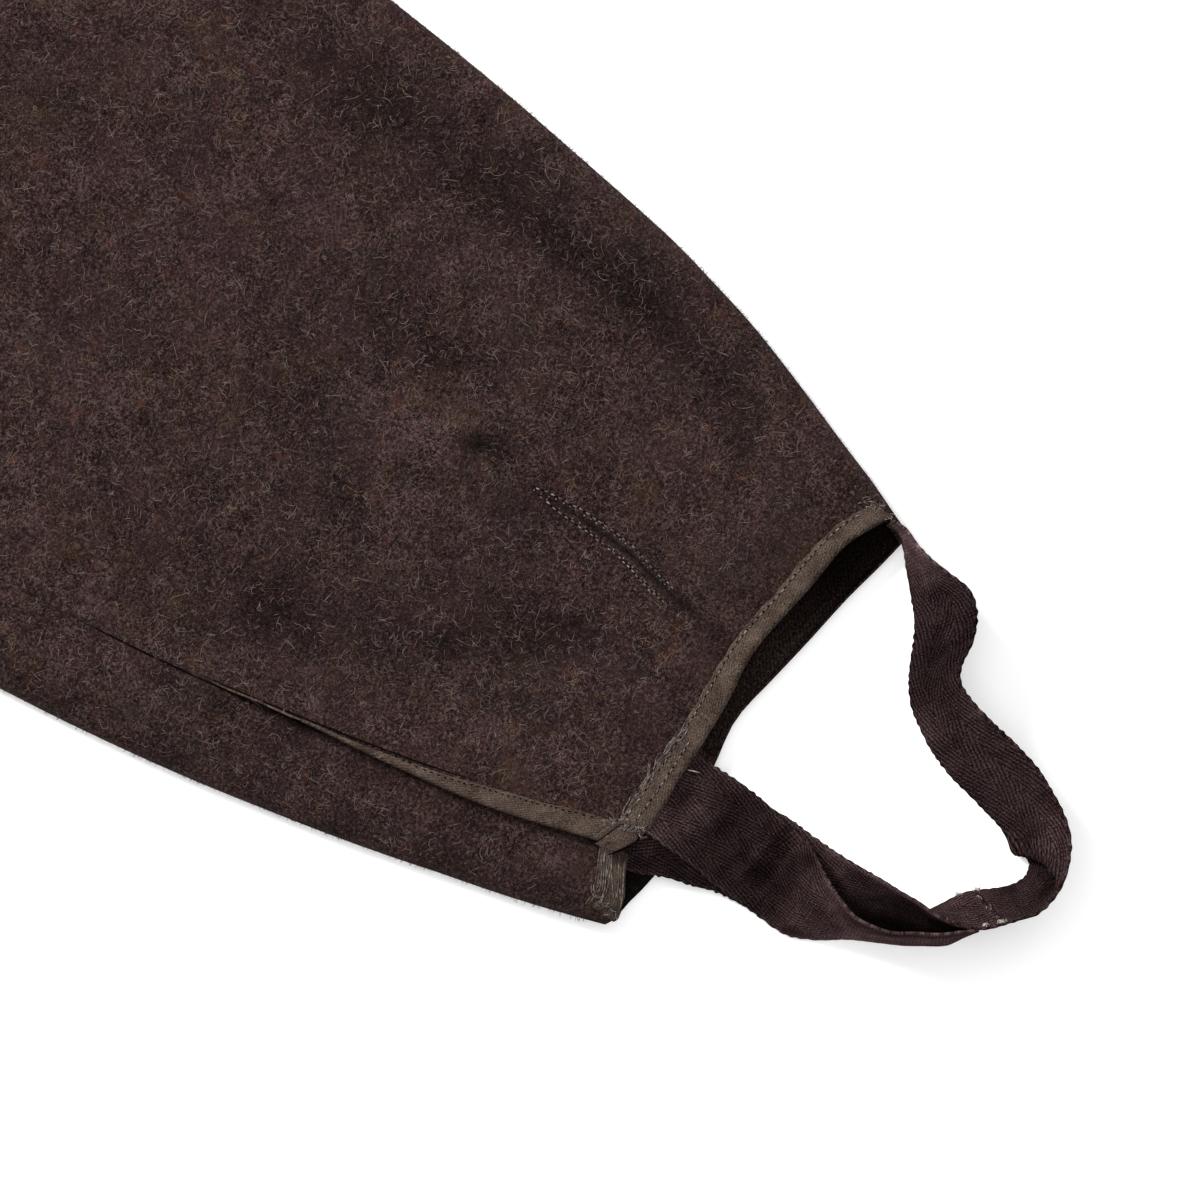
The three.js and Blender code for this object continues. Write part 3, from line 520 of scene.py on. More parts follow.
wool, tree, shader = new_material(
    "fulled_wool", Roughness=1.0, Specular_IOR_Level=0.02, Sheen_Weight=0.02, Sheen_Roughness=0.6)
place = place_on(tree)
mottle = noise(tree, place, 1050.0, 6.0, 0.8, 0.6)
clumps = noise(tree, place, 90.0, 5.0, 0.7)
colour = ramp(tree, weighted(tree, (mottle, 0.80), (clumps, 0.20)), [
    (0.39, (0.0007, 0.0003, 0.0003)), (0.46, (0.0056, 0.0023, 0.0022)),
    (0.525, (0.0198, 0.0087, 0.0078)), (0.60, (0.086, 0.053, 0.047))])
# warm, rust, plum and moss patches: size, detail, roughness, warp, where they start and are full
for size, detail, roughness, warp, low, high, strength, tint in [
        (75.0, 5.0, 0.70, 0.0, 0.50, 0.70, 0.42, (0.0420, 0.0220, 0.0085, 1)),
        (190.0, 4.0, 0.65, 0.5, 0.59, 0.72, 0.50, (0.0600, 0.0190, 0.0130, 1)),
        (60.0, 4.0, 0.60, 0.0, 0.46, 0.66, 0.42, (0.0255, 0.0107, 0.0130, 1)),
        (44.0, 4.0, 0.60, 0.0, 0.54, 0.70, 0.42, (0.0130, 0.0092, 0.0068, 1))]:
    patch = ramp(tree, noise(tree, place, size, detail, roughness, warp), [
        (low, (0, 0, 0)), (high, (1, 1, 1))])
    colour = mix_colour(tree, maths(tree, "MULTIPLY", patch, strength), colour, tint)
# fibres in and on the cloth: turn, size, width, cover, colour, strength
relief = mottle
for turn, size, width, cover, tint, strength in [
        (0.4, 330.0, 0.016, 0.58, (0.125, 0.094, 0.088, 1), 0.65),
        (1.5, 370.0, 0.018, 0.58, (0.115, 0.084, 0.078, 1), 0.65),
        (2.3, 480.0, 0.022, 0.57, (0.100, 0.073, 0.068, 1), 0.65),
        (3.3, 560.0, 0.028, 0.56, (0.088, 0.062, 0.058, 1), 0.65),
        (3.8, 420.0, 0.034, 0.60, (0.0025, 0.0015, 0.0016, 1), 0.80)]:
    strand = fibre_layer(tree, place, turn, size, width, cover)
    colour = mix_colour(tree, maths(tree, "MULTIPLY", strand, strength), colour, tint)
    relief = weighted(tree, (relief, 1.0), (strand, 0.2))
surface(tree, shader, toned(tree, colour), relief, 0.8, 0.0007)

ROLL_STEPS = 8
ROW_HEIGHTS = np.concatenate([
    np.linspace(0, 262, 142), np.linspace(262, 762, 88)[1:],
    FORK_UP + np.linspace(0.01, SEAT_HEIGHT - GAP, 44)])
FRONT_SHARES = np.concatenate([
    np.linspace(0, 0.385, 38), np.linspace(0.385, 0.50, 30)[1:], np.linspace(0.50, 1, 48)[1:]])


def inseam_roll(v):
    """The quarter circle at the inseam, which flattens above the fork: its turn, its distances
    across, and those of a flat piece as wide."""
    inner = half_widths(v)[0]
    turn = np.linspace(GAP / 2 / FOLD_RADIUS, np.pi / 2, ROLL_STEPS + 1)[None, :-1]
    flat = -inner + ROLL_RADIUS * np.linspace(0, 1, ROLL_STEPS + 1)[None, :-1]
    rolled = -inner + ROLL_RADIUS - FOLD_RADIUS * np.cos(turn)
    return turn, np.where(v <= FORK_UP, rolled, flat), flat


def front_grid(side):
    """Middle surface of a front: a quarter circle down to the inseam, which flattens above the fork,
    then the height function out to the side seam or vent."""
    v = ROW_HEIGHTS[:, None]
    turn, roll, flat = inseam_roll(v)
    roll_z = np.where(v <= FORK_UP, back_z(v) + FOLD_RADIUS * (1 + np.sin(turn)), front_z(flat, v, side))
    start = -half_widths(v)[0] + ROLL_RADIUS
    a = start + (front_edge(v) - start) * FRONT_SHARES[None, :]
    z = np.concatenate([roll_z, front_z(a, v, side)], axis=1)
    a = np.concatenate([roll, a], axis=1)
    x, y = panel_plan(a, v + 0 * a, FRONT_HEM)
    return placed(side, x, y, z), front_tone(a, v + 0 * a, side)


for word, side in SIDES:
    grid, tone = front_grid(side)
    front = shell(f"front_cloth_{word}", grid, CLOTH, wool, None, tone)
    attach(front, "root")
    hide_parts(f"front_{word}")

# The two backs: the same wool, one piece a leg. Each lies on the table, turns up in a soft fold
# along the side and comes over to the front as a strip as wide as a thumb.
BACK_HEM = [
    (-80, -9.6), (-64, -7.3), (-48, -4.1), (-31, -1.5), (-13, 1.6), (-1, 3.8), (6, 4.0), (19, 1.8),
    (45, -1.6), (54, -1.9), (62, -1.2), (69, 0.3), (74.5, 1.0), (76.5, 1.8), (78, 3.3), (80, 5.0),
]
SIDE_STRIP_HEM = [(52, 11.0), (59, 8.9), (70, 3.0), (74.5, 1.7), (76.5, 1.9), (78, 3.3), (80, 5.0)]
STRIP_UNDER_BINDING = 4.0
# Painted shade: on the side strip towards its fold, on the back below the front's hem near the side, and
# on the strip along the vent's edge
STRIP_SHADE = 0.34
HIDDEN_SHADE = 0.88
VENT_SHADE = 0.75
FOLD_STEPS = 12
STRIP_STEPS = 16
BACK_STEPS = 28


def strip_edge(v):
    """Distance out to the side strip's edge: under the front's binding, then at the side seam."""
    return vent_edge(v) + GAP / 2 + STRIP_UNDER_BINDING * (1 - ease(v / VENT_TOP))


def strip_z(a, v):
    """Height of the side strip's middle."""
    from_side = half_widths(v)[1] - ROLL_RADIUS - a
    return upper_z(a, v) - strip_drop(v) * ease(from_side / VENT_LIFT_REACH)


def back_grid(side, heights=ROW_HEIGHTS):
    """Middle surface of a back: a quarter circle up to the inseam, flat on the table, half a circle
    round the side fold, and the strip on top."""
    v = heights[:, None]
    outer = half_widths(v)[1]
    start, end = -half_widths(v)[0] + ROLL_RADIUS, outer - ROLL_RADIUS
    z = back_z(v)
    turn, roll, _ = inseam_roll(v)
    roll_z = np.where(v <= FORK_UP, z + FOLD_RADIUS * (1 - np.sin(turn)), z)
    flat = start + (end - start) * np.linspace(0, 1, BACK_STEPS + 1)[None, :-1]
    fold = np.linspace(0, np.pi, FOLD_STEPS + 1)[None, :-1]
    strip = end + (strip_edge(v) - end) * np.linspace(0, 1, STRIP_STEPS + 1)[None, :]
    a = np.concatenate([roll, flat, end + FOLD_RADIUS * np.sin(fold), strip], axis=1)
    z = np.concatenate([
        roll_z, z + 0 * flat, z + FOLD_RADIUS * (1 - np.cos(fold)), strip_z(strip, v)], axis=1)
    x, y = panel_plan(a, v + 0 * a, BACK_HEM)
    xs, ys = panel_plan(a, v + 0 * a, SIDE_STRIP_HEM)
    column = np.arange(a.shape[1])[None, :]
    split = ROLL_STEPS + BACK_STEPS + FOLD_STEPS // 2
    on_top = column >= split
    # painted shade on the back's cloth just below the front's hem near the side, where the layers shade
    # it
    under_hem_shade = ease((a - 50) / 8) * ease((24 - v) / 6) * (column < split + 2)
    # painted shadow on the side strip along the vent's edge, under the front's tape
    vent_edge_shadow = np.exp(-np.maximum(a - vent_edge(v) - 0.5, 0) / 1.6) * vent_opening(v) * on_top
    # painted highlight along the side fold's edge, and painted shade on the strip towards the fold
    fold_shading = 0.45 * np.exp(-(((a - outer) / 2.0) ** 2)) * (v > 6)
    fold_shading = fold_shading - STRIP_SHADE * on_top * ease((a - outer + 18) / 15)
    patches = 0.12 * drift(a, v, 46, 51 + side) + 0.07 * drift(a, v, 20, 55 + side)
    tone = (1 + patches + fold_shading) * (1 - HIDDEN_SHADE * under_hem_shade) * (1 - VENT_SHADE * vent_edge_shadow)
    grid = placed(side, np.where(on_top, xs, x), np.where(on_top, ys, y), z)
    return grid, np.clip(tone, 0.05, 1.6)


for word, side in SIDES:
    grid, tone = back_grid(side)
    back = shell(f"back_cloth_{word}", grid, CLOTH, wool, None, tone)
    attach(back, "root")
    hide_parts(f"back_{word}")

# The binding of the hem and of the vent's front edge: a narrow olive-brown cotton tape folded over
# the raw edge and sewn down. The two meet in a mitre at the corner, where the sewing is doubled.
HEM_BINDING_INNER = [
    (-75.5, 6.3), (-68, 10.5), (-57, 13.5), (-45, 15.2), (-37, 16.0), (-28, 17.5), (-20, 18.5),
    (-12.5, 18.7), (-3, 18.1), (3, 17.7), (30, 17.0), (50, 17.7),
]
BINDING_WALL = 0.8
BINDING_OFF = 1.45
COTTON_RIB = 0.85
MITRE_LIFT = 1.1
HEM_BINDING_START = -77.5
HEM_BINDING_END = 50.0

cotton, tree, shader = new_material("binding_cotton", Roughness=0.95, Specular_IOR_Level=0.05)
tape_map = place_on(tree, "UV")
stretched = [add_node(tree, "ShaderNodeMapping", {"Vector": tape_map, "Scale": stretch}).outputs["Vector"]
             for stretch in ((1.0, 2.6, 1.0), (2.6, 1.0, 1.0))]
warp, weft = [noise(tree, vector, 1500.0, 3.0, 0.7) for vector in stretched]
soil = noise(tree, tape_map, 110.0, 4.0, 0.65)
parts = add_node(tree, "ShaderNodeSeparateXYZ", {"Vector": tape_map}).outputs
rib = maths(tree, "SINE", maths(
    tree, "MULTIPLY", weighted(tree, (parts["Y"], 1.0), (parts["X"], 0.35)), 6283.2 / COTTON_RIB))
grain = weighted(tree, (warp, 0.38), (weft, 0.38), (soil, 0.24), (rib, 0.016))
colour = ramp(tree, grain, [
    (0.40, (0.0055, 0.0033, 0.0025)), (0.46, (0.024, 0.0156, 0.0120)), (0.52, (0.058, 0.0400, 0.0305)),
    (0.60, (0.135, 0.103, 0.082))])
strand = fibre_layer(tree, tape_map, 0.7, 300.0, 0.014, 0.58)
colour = mix_colour(tree, maths(tree, "MULTIPLY", strand, 0.5), colour, (0.19, 0.155, 0.13, 1))
surface(tree, shader, toned(tree, colour), grain, 0.7, 0.0004)


def past_hem(a, v, hem):
    """Plan point which also goes on straight below the row at the hem."""
    x, y = panel_plan(a, np.maximum(v, 0), hem)
    below = np.minimum(v, 0)
    return x - below * np.sin(LEG_TURN), y + below * np.cos(LEG_TURN)


def hem_width(a):
    """Width of the hem's binding at a distance across."""
    return along(HEM_BINDING_INNER, a) - along(FRONT_HEM, a)


def mitre_lift(a):
    """How much higher the hem's binding lies where it laps over the vent's."""
    return MITRE_LIFT * ease((a - 43) / 4)


def folded_section(width, steps=10):
    """Section of a folded tape: distance in from the cloth's edge and height off its middle, in over
    the top, round the edge in half a circle, and back underneath."""
    turn = np.linspace(np.pi / 2, -np.pi / 2, 9)
    top = np.linspace(1, 0, steps, endpoint=False)
    edge = -BINDING_OFF * 0.75 * np.cos(turn) + 0 * width
    inwards = np.concatenate([width * top, edge, width * 0.8 * top[::-1]], axis=1)
    off = np.concatenate([
        np.full(steps, BINDING_OFF), BINDING_OFF * np.sin(turn), np.full(steps, -BINDING_OFF)])
    return inwards, off[None, :]


def hem_binding_grid(side):
    """Folded tape carried along the front's hem, from the inseam to the mitre."""
    a = np.linspace(HEM_BINDING_START, HEM_BINDING_END, 120)[:, None]
    inwards, off = folded_section(hem_width(a) * (1 + 0.05 * drift(a, 0 * a, 9, 5)))
    a = a + 0 * inwards
    x, y = past_hem(a, inwards, FRONT_HEM)
    z = front_z(a, np.maximum(inwards, 0), side) + off + mitre_lift(a)
    return placed(side, x, y, z), a, inwards


def vent_binding_grid(side):
    """Folded tape carried up the vent's front edge, narrowing to the vent's top."""
    v = np.linspace(2.2, VENT_TOP, 96)[:, None]
    width = np.maximum(along(VENT_BINDING_SHOWS, v) - TAPE - GAP, 0.6)
    width = width * (1 + 0.04 * drift(v, 0 * v, 14, 6))
    inwards, off = folded_section(width)
    inwards = np.where(inwards < 0, inwards * ease((VENT_TOP + 2 - v) / 36), inwards)
    a = front_edge(v) - inwards
    x, y = panel_plan(a, v + 0 * a, FRONT_HEM)
    return placed(side, x, y, front_z(a, v + 0 * a, side) + off), v + 0 * a, inwards


for word, side in SIDES:
    for piece_name, node_name, (grid, run, inwards) in (
            ("hem_tape", "front_hem_binding", hem_binding_grid(side)),
            ("vent_tape", "vent_binding", vent_binding_grid(side))):
        tape_uv = np.stack([run, inwards], axis=-1) * MM
        binding = shell(f"{piece_name}_{word}", grid, BINDING_WALL, cotton, tape_uv)
        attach(binding, "root")
        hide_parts(f"{node_name}_{word}")

# The back's hem: the same cotton tape over its lower edge, and inside it a dark twill facing that
# shows between the two layers at the leg's opening, with painted shade darkening it towards the inseam.
BACK_TRIM_OFF = 1.8
FACING_WIDTH = 22.0
FACING_END = 16.5

facing_twill, tree, shader = new_material("facing_twill", Roughness=1.0, Specular_IOR_Level=0.0)
facing_map = place_on(tree, "UV")
lines = add_node(tree, "ShaderNodeTexWave", {
    "Vector": facing_map, "Scale": 420.0, "Distortion": 3.0, "Detail": 3.0, "Detail Scale": 4.0},
    bands_direction="DIAGONAL").outputs["Fac"]
grain = weighted(tree, (lines, 0.07), (noise(tree, facing_map, 1100.0, 4.0, 0.75), 0.93))
colour = ramp(tree, grain, [
    (0.38, (0.0018, 0.0011, 0.0010)), (0.52, (0.0095, 0.0062, 0.0054)), (0.70, (0.030, 0.0205, 0.0175))])
across = add_node(tree, "ShaderNodeSeparateXYZ", {"Vector": facing_map}).outputs["X"]
# painted shade: darkest towards the inseam, deep inside the leg's opening
shade = map_range(tree, across, -0.052, -0.022, 0.32, 1.25)
surface(tree, shader, mix_colour(tree, 1.0, colour, shade, "MULTIPLY"), grain, 0.6, 0.0004)


def back_trim_grid(side, heights, first, last, off):
    """Part of the back's rows moved off the middle of the cloth along its normals."""
    grid = back_grid(side, heights)[0]
    normal = unit(np.cross(np.gradient(grid, axis=1), np.gradient(grid, axis=0)))
    return (grid + normal * off * side)[:, first:last + 1]


for word, side in SIDES:
    heights = np.array([0.2, 1.2, 3.0, 4.6, 6.4, 8.0])
    grid = back_trim_grid(side, heights, ROLL_STEPS, ROLL_STEPS + BACK_STEPS + 1, -BACK_TRIM_OFF)
    run = np.linalg.norm(np.diff(grid, axis=1, prepend=grid[:, :1]), axis=2).cumsum(axis=1)
    tape_uv = np.stack([run, heights[:, None] + 0 * run], axis=-1) * MM
    back_tape = shell(f"back_hem_tape_{word}", grid, TAPE, cotton, tape_uv)
    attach(back_tape, "root")
    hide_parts(f"back_hem_binding_{word}")

    heights = np.linspace(0.8, FACING_WIDTH, 12)
    v = heights[:, None]
    start = -half_widths(v)[0] + ROLL_RADIUS + 1.2
    a = start + (FACING_END - start) * np.linspace(0, 1, 50)[None, :]
    x, y = panel_plan(a, v + 0 * a, BACK_HEM)
    facing_map = np.stack([a, v + 0 * a], axis=-1) * MM
    facing = shell(f"facing_cloth_{word}", placed(side, x, y, back_z(v) + BACK_TRIM_OFF + 0 * a), TAPE,
                   facing_twill, facing_map)
    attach(facing, "root")
    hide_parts(f"back_hem_facing_{word}")

# The foot strap: a brown herringbone tape as wide as two fingers. Two lengths leave the ankle at
# the vent's corner, one from under the front and one from the side strip, and stand on edge to
# meet the third, which loops from the inseam's corner and bends sharply before the join.
STRAP_FRONT = [
    (48.6, 20.4, 5.4, 19.0, 13.1, 0.0), (48.6, 8.3, 5.4, 19.0, 1.0, 0.0),
    (49.0, -1.2, 5.6, 19.0, -9.0, 0.0),
    (49.6, -11.8, 5.4, 20.0, -19.0, 0.5), (50.4, -18.6, 4.2, 21.6, -27.0, 3.0),
    (50.6, -26.3, 2.7, 22.8, -34.9, 9.0), (50.9, -35.0, 1.6, 24.9, -40.5, 16.1),
    (50.9, -46.5, 0.6, 28.6, -46.8, 20.8), (47.9, -53.6, 0.6, 31.8, -53.7, 25.3),
    (41.3, -63.5, 0.6, 34.3, -62.5, 29.2), (35.9, -74.0, 0.6, 32.0, -73.2, 29.7),
    (31.0, -82.6, 0.6, 27.2, -81.0, 29.6), (26.0, -90.0, 0.6, 22.8, -88.0, 29.4),
    (20.8, -93.5, 0.6, 19.2, -92.4, 29.2), (16.5, -96.3, 0.6, 16.2, -96.0, 28.9),
]
STRAP_BACK = [
    (63.3, 11.3, 4.1, 36.3, 24.2, 0.0), (60.5, 2.5, 4.1, 33.4, 15.9, 0.0),
    (56.8, -5.3, 4.1, 29.0, 6.0, 0.0),
    (54.8, -12.6, 3.4, 25.0, -4.0, 0.6), (52.2, -20.2, 1.5, 21.6, -13.7, 0.6),
    (51.0, -28.8, 0.6, 20.0, -25.4, 2.6), (49.4, -38.4, 0.6, 20.4, -36.6, 10.0),
    (45.8, -48.6, 0.6, 20.6, -47.5, 16.2), (39.8, -58.0, 0.6, 20.3, -56.5, 22.7),
    (34.6, -67.6, 0.6, 19.8, -67.2, 26.1), (30.2, -77.8, 0.6, 19.4, -76.2, 28.2),
    (27.4, -86.6, 0.6, 19.4, -83.6, 29.0), (22.6, -91.9, 0.6, 18.6, -89.6, 28.8),
    (16.7, -95.8, 0.6, 16.4, -95.2, 28.6),
]
STRAP_LOOP = [
    (-74.2, -1.5, 4.6, -76.6, -2.6, 7.0), (-73.9, -5.6, 2.4, -76.3, -7.4, 11.0),
    (-70.6, -10.8, 0.9, -74.0, -13.2, 15.0), (-65.3, -15.6, 0.6, -72.6, -20.0, 20.0),
    (-59.9, -20.6, 0.6, -72.2, -26.6, 23.6),
    (-55.3, -24.8, 0.6, -71.3, -34.6, 23.4), (-48.8, -28.8, 0.6, -66.1, -40.8, 21.4),
    (-42.5, -31.9, 0.6, -59.0, -43.8, 22.0), (-36.3, -35.2, 0.6, -51.0, -45.2, 24.2),
    (-31.1, -39.8, 0.6, -45.6, -48.2, 24.9), (-26.7, -45.7, 0.6, -42.7, -54.6, 23.8),
    (-22.6, -53.3, 0.6, -40.6, -63.1, 21.9), (-19.4, -62.1, 0.6, -39.0, -72.4, 20.2),
    (-17.3, -72.7, 0.6, -36.9, -81.7, 20.9), (-15.0, -82.6, 0.6, -33.3, -90.4, 22.5),
    (-12.8, -89.2, 0.6, -28.9, -98.0, 23.7), (-11.4, -93.6, 0.6, -23.7, -104.1, 25.3),
    (-10.6, -98.0, 0.6, -17.8, -107.6, 26.7), (-8.3, -99.1, 0.6, -11.2, -109.6, 27.5),
    (-5.4, -99.3, 0.6, -4.3, -109.9, 27.8), (-1.6, -97.6, 0.6, 2.0, -108.6, 27.7),
    (1.5, -94.8, 0.6, 6.2, -105.0, 27.7), (4.4, -91.4, 0.6, 9.6, -102.0, 27.9),
    (7.0, -88.4, 0.6, 13.0, -99.2, 28.1), (10.0, -85.8, 0.6, 15.8, -96.0, 28.6),
    (13.6, -83.6, 0.6, 17.9, -91.2, 29.2), (17.2, -81.4, 0.6, 19.2, -84.4, 28.6),
    (21.5, -79.0, 0.6, 21.8, -80.2, 20.0),
]
STRAP_WALL = 0.9
STRAP_WIDTH = 30.0
STRAP_COLUMNS = 17
LOOP_STEPS = 420
TWILL_STRIPE = 6.0
TWILL_SLANT = 0.27
TWILL_RIB = 1.10
TWILL_PICK = 1.15
SCALLOP_DEPTH = 0.22
SCALLOP_PITCH = 3.1

twill, tree, shader = new_material("strap_herringbone", Roughness=1.0, Specular_IOR_Level=0.0)
parts = add_node(tree, "ShaderNodeSeparateXYZ", {"Vector": place_on(tree, "UV")}).outputs
run, across = [maths(tree, "MULTIPLY", parts[axis], 1 / MM) for axis in "XY"]
tape_map = add_node(tree, "ShaderNodeCombineXYZ", {"X": run, "Y": across}).outputs["Vector"]
slant = weighted(tree, (maths(tree, "PINGPONG", across, TWILL_STRIPE), 1.0), (run, TWILL_SLANT),
                 (noise(tree, tape_map, 0.35), 1.0))
rib, pick = [maths(tree, "SINE", maths(tree, "MULTIPLY", value, 6.2832 / pitch))
             for value, pitch in ((slant, TWILL_RIB), (run, TWILL_PICK))]
contrast = maths(tree, "MULTIPLY", noise(tree, tape_map, 0.22, 3.0, 0.6), 0.098)
selvedge = maths(tree, "ABSOLUTE", maths(tree, "SUBTRACT", across, STRAP_WIDTH / 2))
grain = weighted(
    tree, (weighted(tree, (rib, 1.0), (pick, 0.30)), contrast),
    (noise(tree, tape_map, 0.10, 4.0, 0.65), 0.25), (noise(tree, tape_map, 1.9, 4.0, 0.8), 0.75),
    (map_range(tree, selvedge, 13.6, 14.2, 0.0, 0.05), 1.0))
colour = ramp(tree, grain, [
    (0.38, (0.0020, 0.0010, 0.0011)), (0.47, (0.0122, 0.0066, 0.0070)), (0.55, (0.0325, 0.0190, 0.0196)),
    (0.66, (0.088, 0.060, 0.058))])
surface(tree, shader, toned(tree, colour), grain, 0.8, 0.0006)

# Creases of the straps: run and width share of the two ends, half width, height
FRONT_STRAP_CREASES = [(39.5, 1.05, 43.5, 0.2, 2.3, 2.8), (46.0, 1.1, 51.0, 0.1, 3.4, -2.6),
                       (30.0, 1.0, 30.0, -0.1, 5.0, -1.0), (62.0, 0.9, 66.0, 0.1, 5.0, 1.4)]
LOOP_STRAP_CREASES = [(20.0, 0.30, 62.0, 0.42, 5.0, -0.5), (70.0, 0.75, 92.0, 0.60, 6.0, 0.6)]
# Places of painted shade and light on each strap: run, width share, reach along, reach across, change
FRONT_STRAP_SHADING = [(12, 0.4, 9, 0.8, 0.75), (25, 0.6, 5, 0.4, -0.38), (31, 0.5, 7, 1.5, -0.42),
                     (14, 0.1, 5, 0.25, 0.8), (16, 0.85, 7, 0.35, -0.45), (56, 0.5, 4, 1.5, -0.22),
                     (39, 0.4, 6, 0.6, -0.55), (48, 0.7, 5, 0.6, -0.25), (53, 0.3, 5.5, 0.8, -0.62),
                     (90, 0.1, 20, 0.5, 1.6), (78, 0.6, 5, 1.5, 0.3), (112, 0.5, 8, 1.0, 0.5)]
BACK_STRAP_SHADING = [(20, 0.05, 12, 0.3, -0.60), (14, 0.6, 6, 0.3, 0.7), (38, 0.4, 14, 1.5, -0.40)]
LOOP_STRAP_SHADING = [(7, 0.6, 9, 1.5, 2.6), (24, 1.0, 6, 0.4, 0.6), (46, 0.5, 16, 1.5, -0.52),
                    (56, 0.6, 6, 1.5, -0.28), (72, 0.5, 7, 1.5, 0.35), (96, 0.15, 12, 0.3, 0.15),
                    (106, 0.4, 12, 0.4, -0.25), (88, 0.35, 9, 0.4, -0.15),
                    (124, 0.22, 4.2, 0.25, -0.68), (127.5, 0.48, 5.2, 0.26, -0.88),
                    (133, 0.68, 5.0, 0.18, -0.75),
                    (118, 0.95, 10, 0.4, 0.50), (143, 0.4, 6, 1.5, -0.40), (157, 0.5, 9, 1.5, 0.55)]
LOOP_TWILL_SHARE = 0.62
# Pleat of the loop at its sharp bend: run, slant across, length, lap and lift at the inner edge, fade
LOOP_PLEAT = (116.2, 17.0, 15.0, 5.6, 3.0, 0.95)


def strap_shading(places, run, share):
    """Painted shading over a strap: one, changed by soft spots of painted shade and light about the
    places in the list.
    """
    tone = np.ones(np.broadcast(run, share).shape)
    for place, across, reach, breadth, change in places:
        off = ((run - place) / reach) ** 2 + ((share - across) / breadth) ** 2
        tone = tone * (1 + change * np.exp(-off))
    return tone


def strap_grid(rows, side, steps, creases, pleat):
    """Middle surface of a strap and its places along and across the tape: straight lines from its
    lower to its raised edge. Both edges are smooth cubics through the table against the run, with a
    sine for the small scallops of a woven selvedge. Creases are bell-shaped lines across the tape,
    and a pleat moves it to and fro along its run while it rises and falls."""
    table = np.asarray(rows, dtype=float)
    low = np.stack([*leg_plan(table[:, 0], table[:, 1]), table[:, 2]], axis=-1)
    high = np.stack([*leg_plan(table[:, 3], table[:, 4]), table[:, 2] + table[:, 5]], axis=-1)
    step = np.linalg.norm(np.diff((low + high) / 2, axis=0), axis=1)
    run = np.concatenate([[0], step.cumsum()])
    at = np.linspace(0, run[-1], steps)
    low, high = [np.stack([along(np.stack([run, edge[:, k]], axis=1), at) for k in range(3)], axis=-1)
                 for edge in (low, high)]
    t = np.linspace(0, 1, STRAP_COLUMNS)
    grid = low[:, None] * (1 - t[None, :, None]) + high[:, None] * t[None, :, None]
    run_way = unit(np.gradient(grid, axis=0))
    normal = unit(np.cross(run_way, np.gradient(grid, axis=1)))
    normal *= np.where(normal[..., 2:3] < 0, -1, 1)
    along_run, share = np.broadcast_arrays(at[:, None], t[None, :])
    scallop = SCALLOP_DEPTH * np.sin(2 * np.pi * at / SCALLOP_PITCH + 1.5 * drift(at, 0 * at, 14, 43))
    scallop = scallop * (1 + 0.8 * drift(at, 0 * at, 9, 44))
    at_edge = (2 * t - 1) ** 9
    grid = grid + unit(high - low)[:, None] * scallop[:, None, None] * at_edge[None, :, None]
    lift = 0.18 * drift(along_run, 30 * share, 16, 41)
    for run0, share0, run1, share1, half, height in creases:
        place = run0 + (run1 - run0) * (share - share0) / (share1 - share0)
        within = ease((share - min(share0, share1)) / 0.2 + 0.2)
        within = within * ease((max(share0, share1) - share) / 0.2 + 0.2)
        lift = lift + height * np.exp(-(((along_run - place) / half) ** 2)) * within
    grid = grid + normal * lift[..., None]
    if pleat:
        place, slant, length, lap, rise, fade = pleat
        q = np.clip((along_run - place - slant * share) / length, -0.5, 0.5)
        wave = -np.sin(2 * np.pi * q) * np.cos(np.pi * q) * ease((fade - share) / 0.35)
        grid = grid + wave[..., None] * (lap * run_way + rise * normal)
    grid[..., 0] *= side
    grid[..., 2] = np.maximum(grid[..., 2], STRAP_WALL / 2)
    uv = np.stack([along_run, STRAP_WIDTH * share], axis=-1) * MM
    return grid, uv


for word, side in SIDES:
    for strap_name, node_name, rows, length, under, steps, creases, pleat, shading_spots in (
            ("strap_front_tape", "strap_front", STRAP_FRONT, 0.13, f"back_cloth_{word}", 160,
             FRONT_STRAP_CREASES, None, FRONT_STRAP_SHADING),
            ("strap_back_tape", "strap_back", STRAP_BACK, 0.125, f"back_cloth_{word}", 110, (), None,
             BACK_STRAP_SHADING),
            ("strap_loop_tape", "strap_loop", STRAP_LOOP, 0.165, "table_top", LOOP_STEPS,
             LOOP_STRAP_CREASES, LOOP_PLEAT, LOOP_STRAP_SHADING)):
        grid, uv = strap_grid(rows, side, steps, creases, pleat)
        tone = strap_shading(shading_spots, uv[..., 0] / MM, uv[..., 1] / MM / STRAP_WIDTH)
        if pleat:
            uv = uv * (1, LOOP_TWILL_SHARE) + (0, (1 - LOOP_TWILL_SHARE) * STRAP_WIDTH / 2 * MM)
        strap = shell(f"{strap_name}_{word}", grid, STRAP_WALL, twill, uv, tone)
        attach(strap, "root")
        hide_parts(f"{node_name}_{word}")

# The mitre at the vent's corner and the frayed tail: the vent's tape ends in a folded tab that laps
# under the hem's tape, and a short raw end of the same tape lies on the side strip's hem below it.
MITRE_FOLD = [(60.4, 19.9), (51.0, 16.4)]
MITRE_EDGE = [(59.3, 13.4), (55.4, 10.9), (51.5, 9.4), (49.4, 11.4)]
TURNED_EDGE = [(49.3, 10.9), (51.4, 8.95), (55.5, 10.4), (59.5, 12.95), (61.6, 14.9)]
TAIL_A = (57.0, 77.0)
TAIL_UP = (-0.9, 9.8)
MITRE_Z = FRONT_HEM_Z + VENT_STACK - STRIP_HEM_DROP + BINDING_OFF


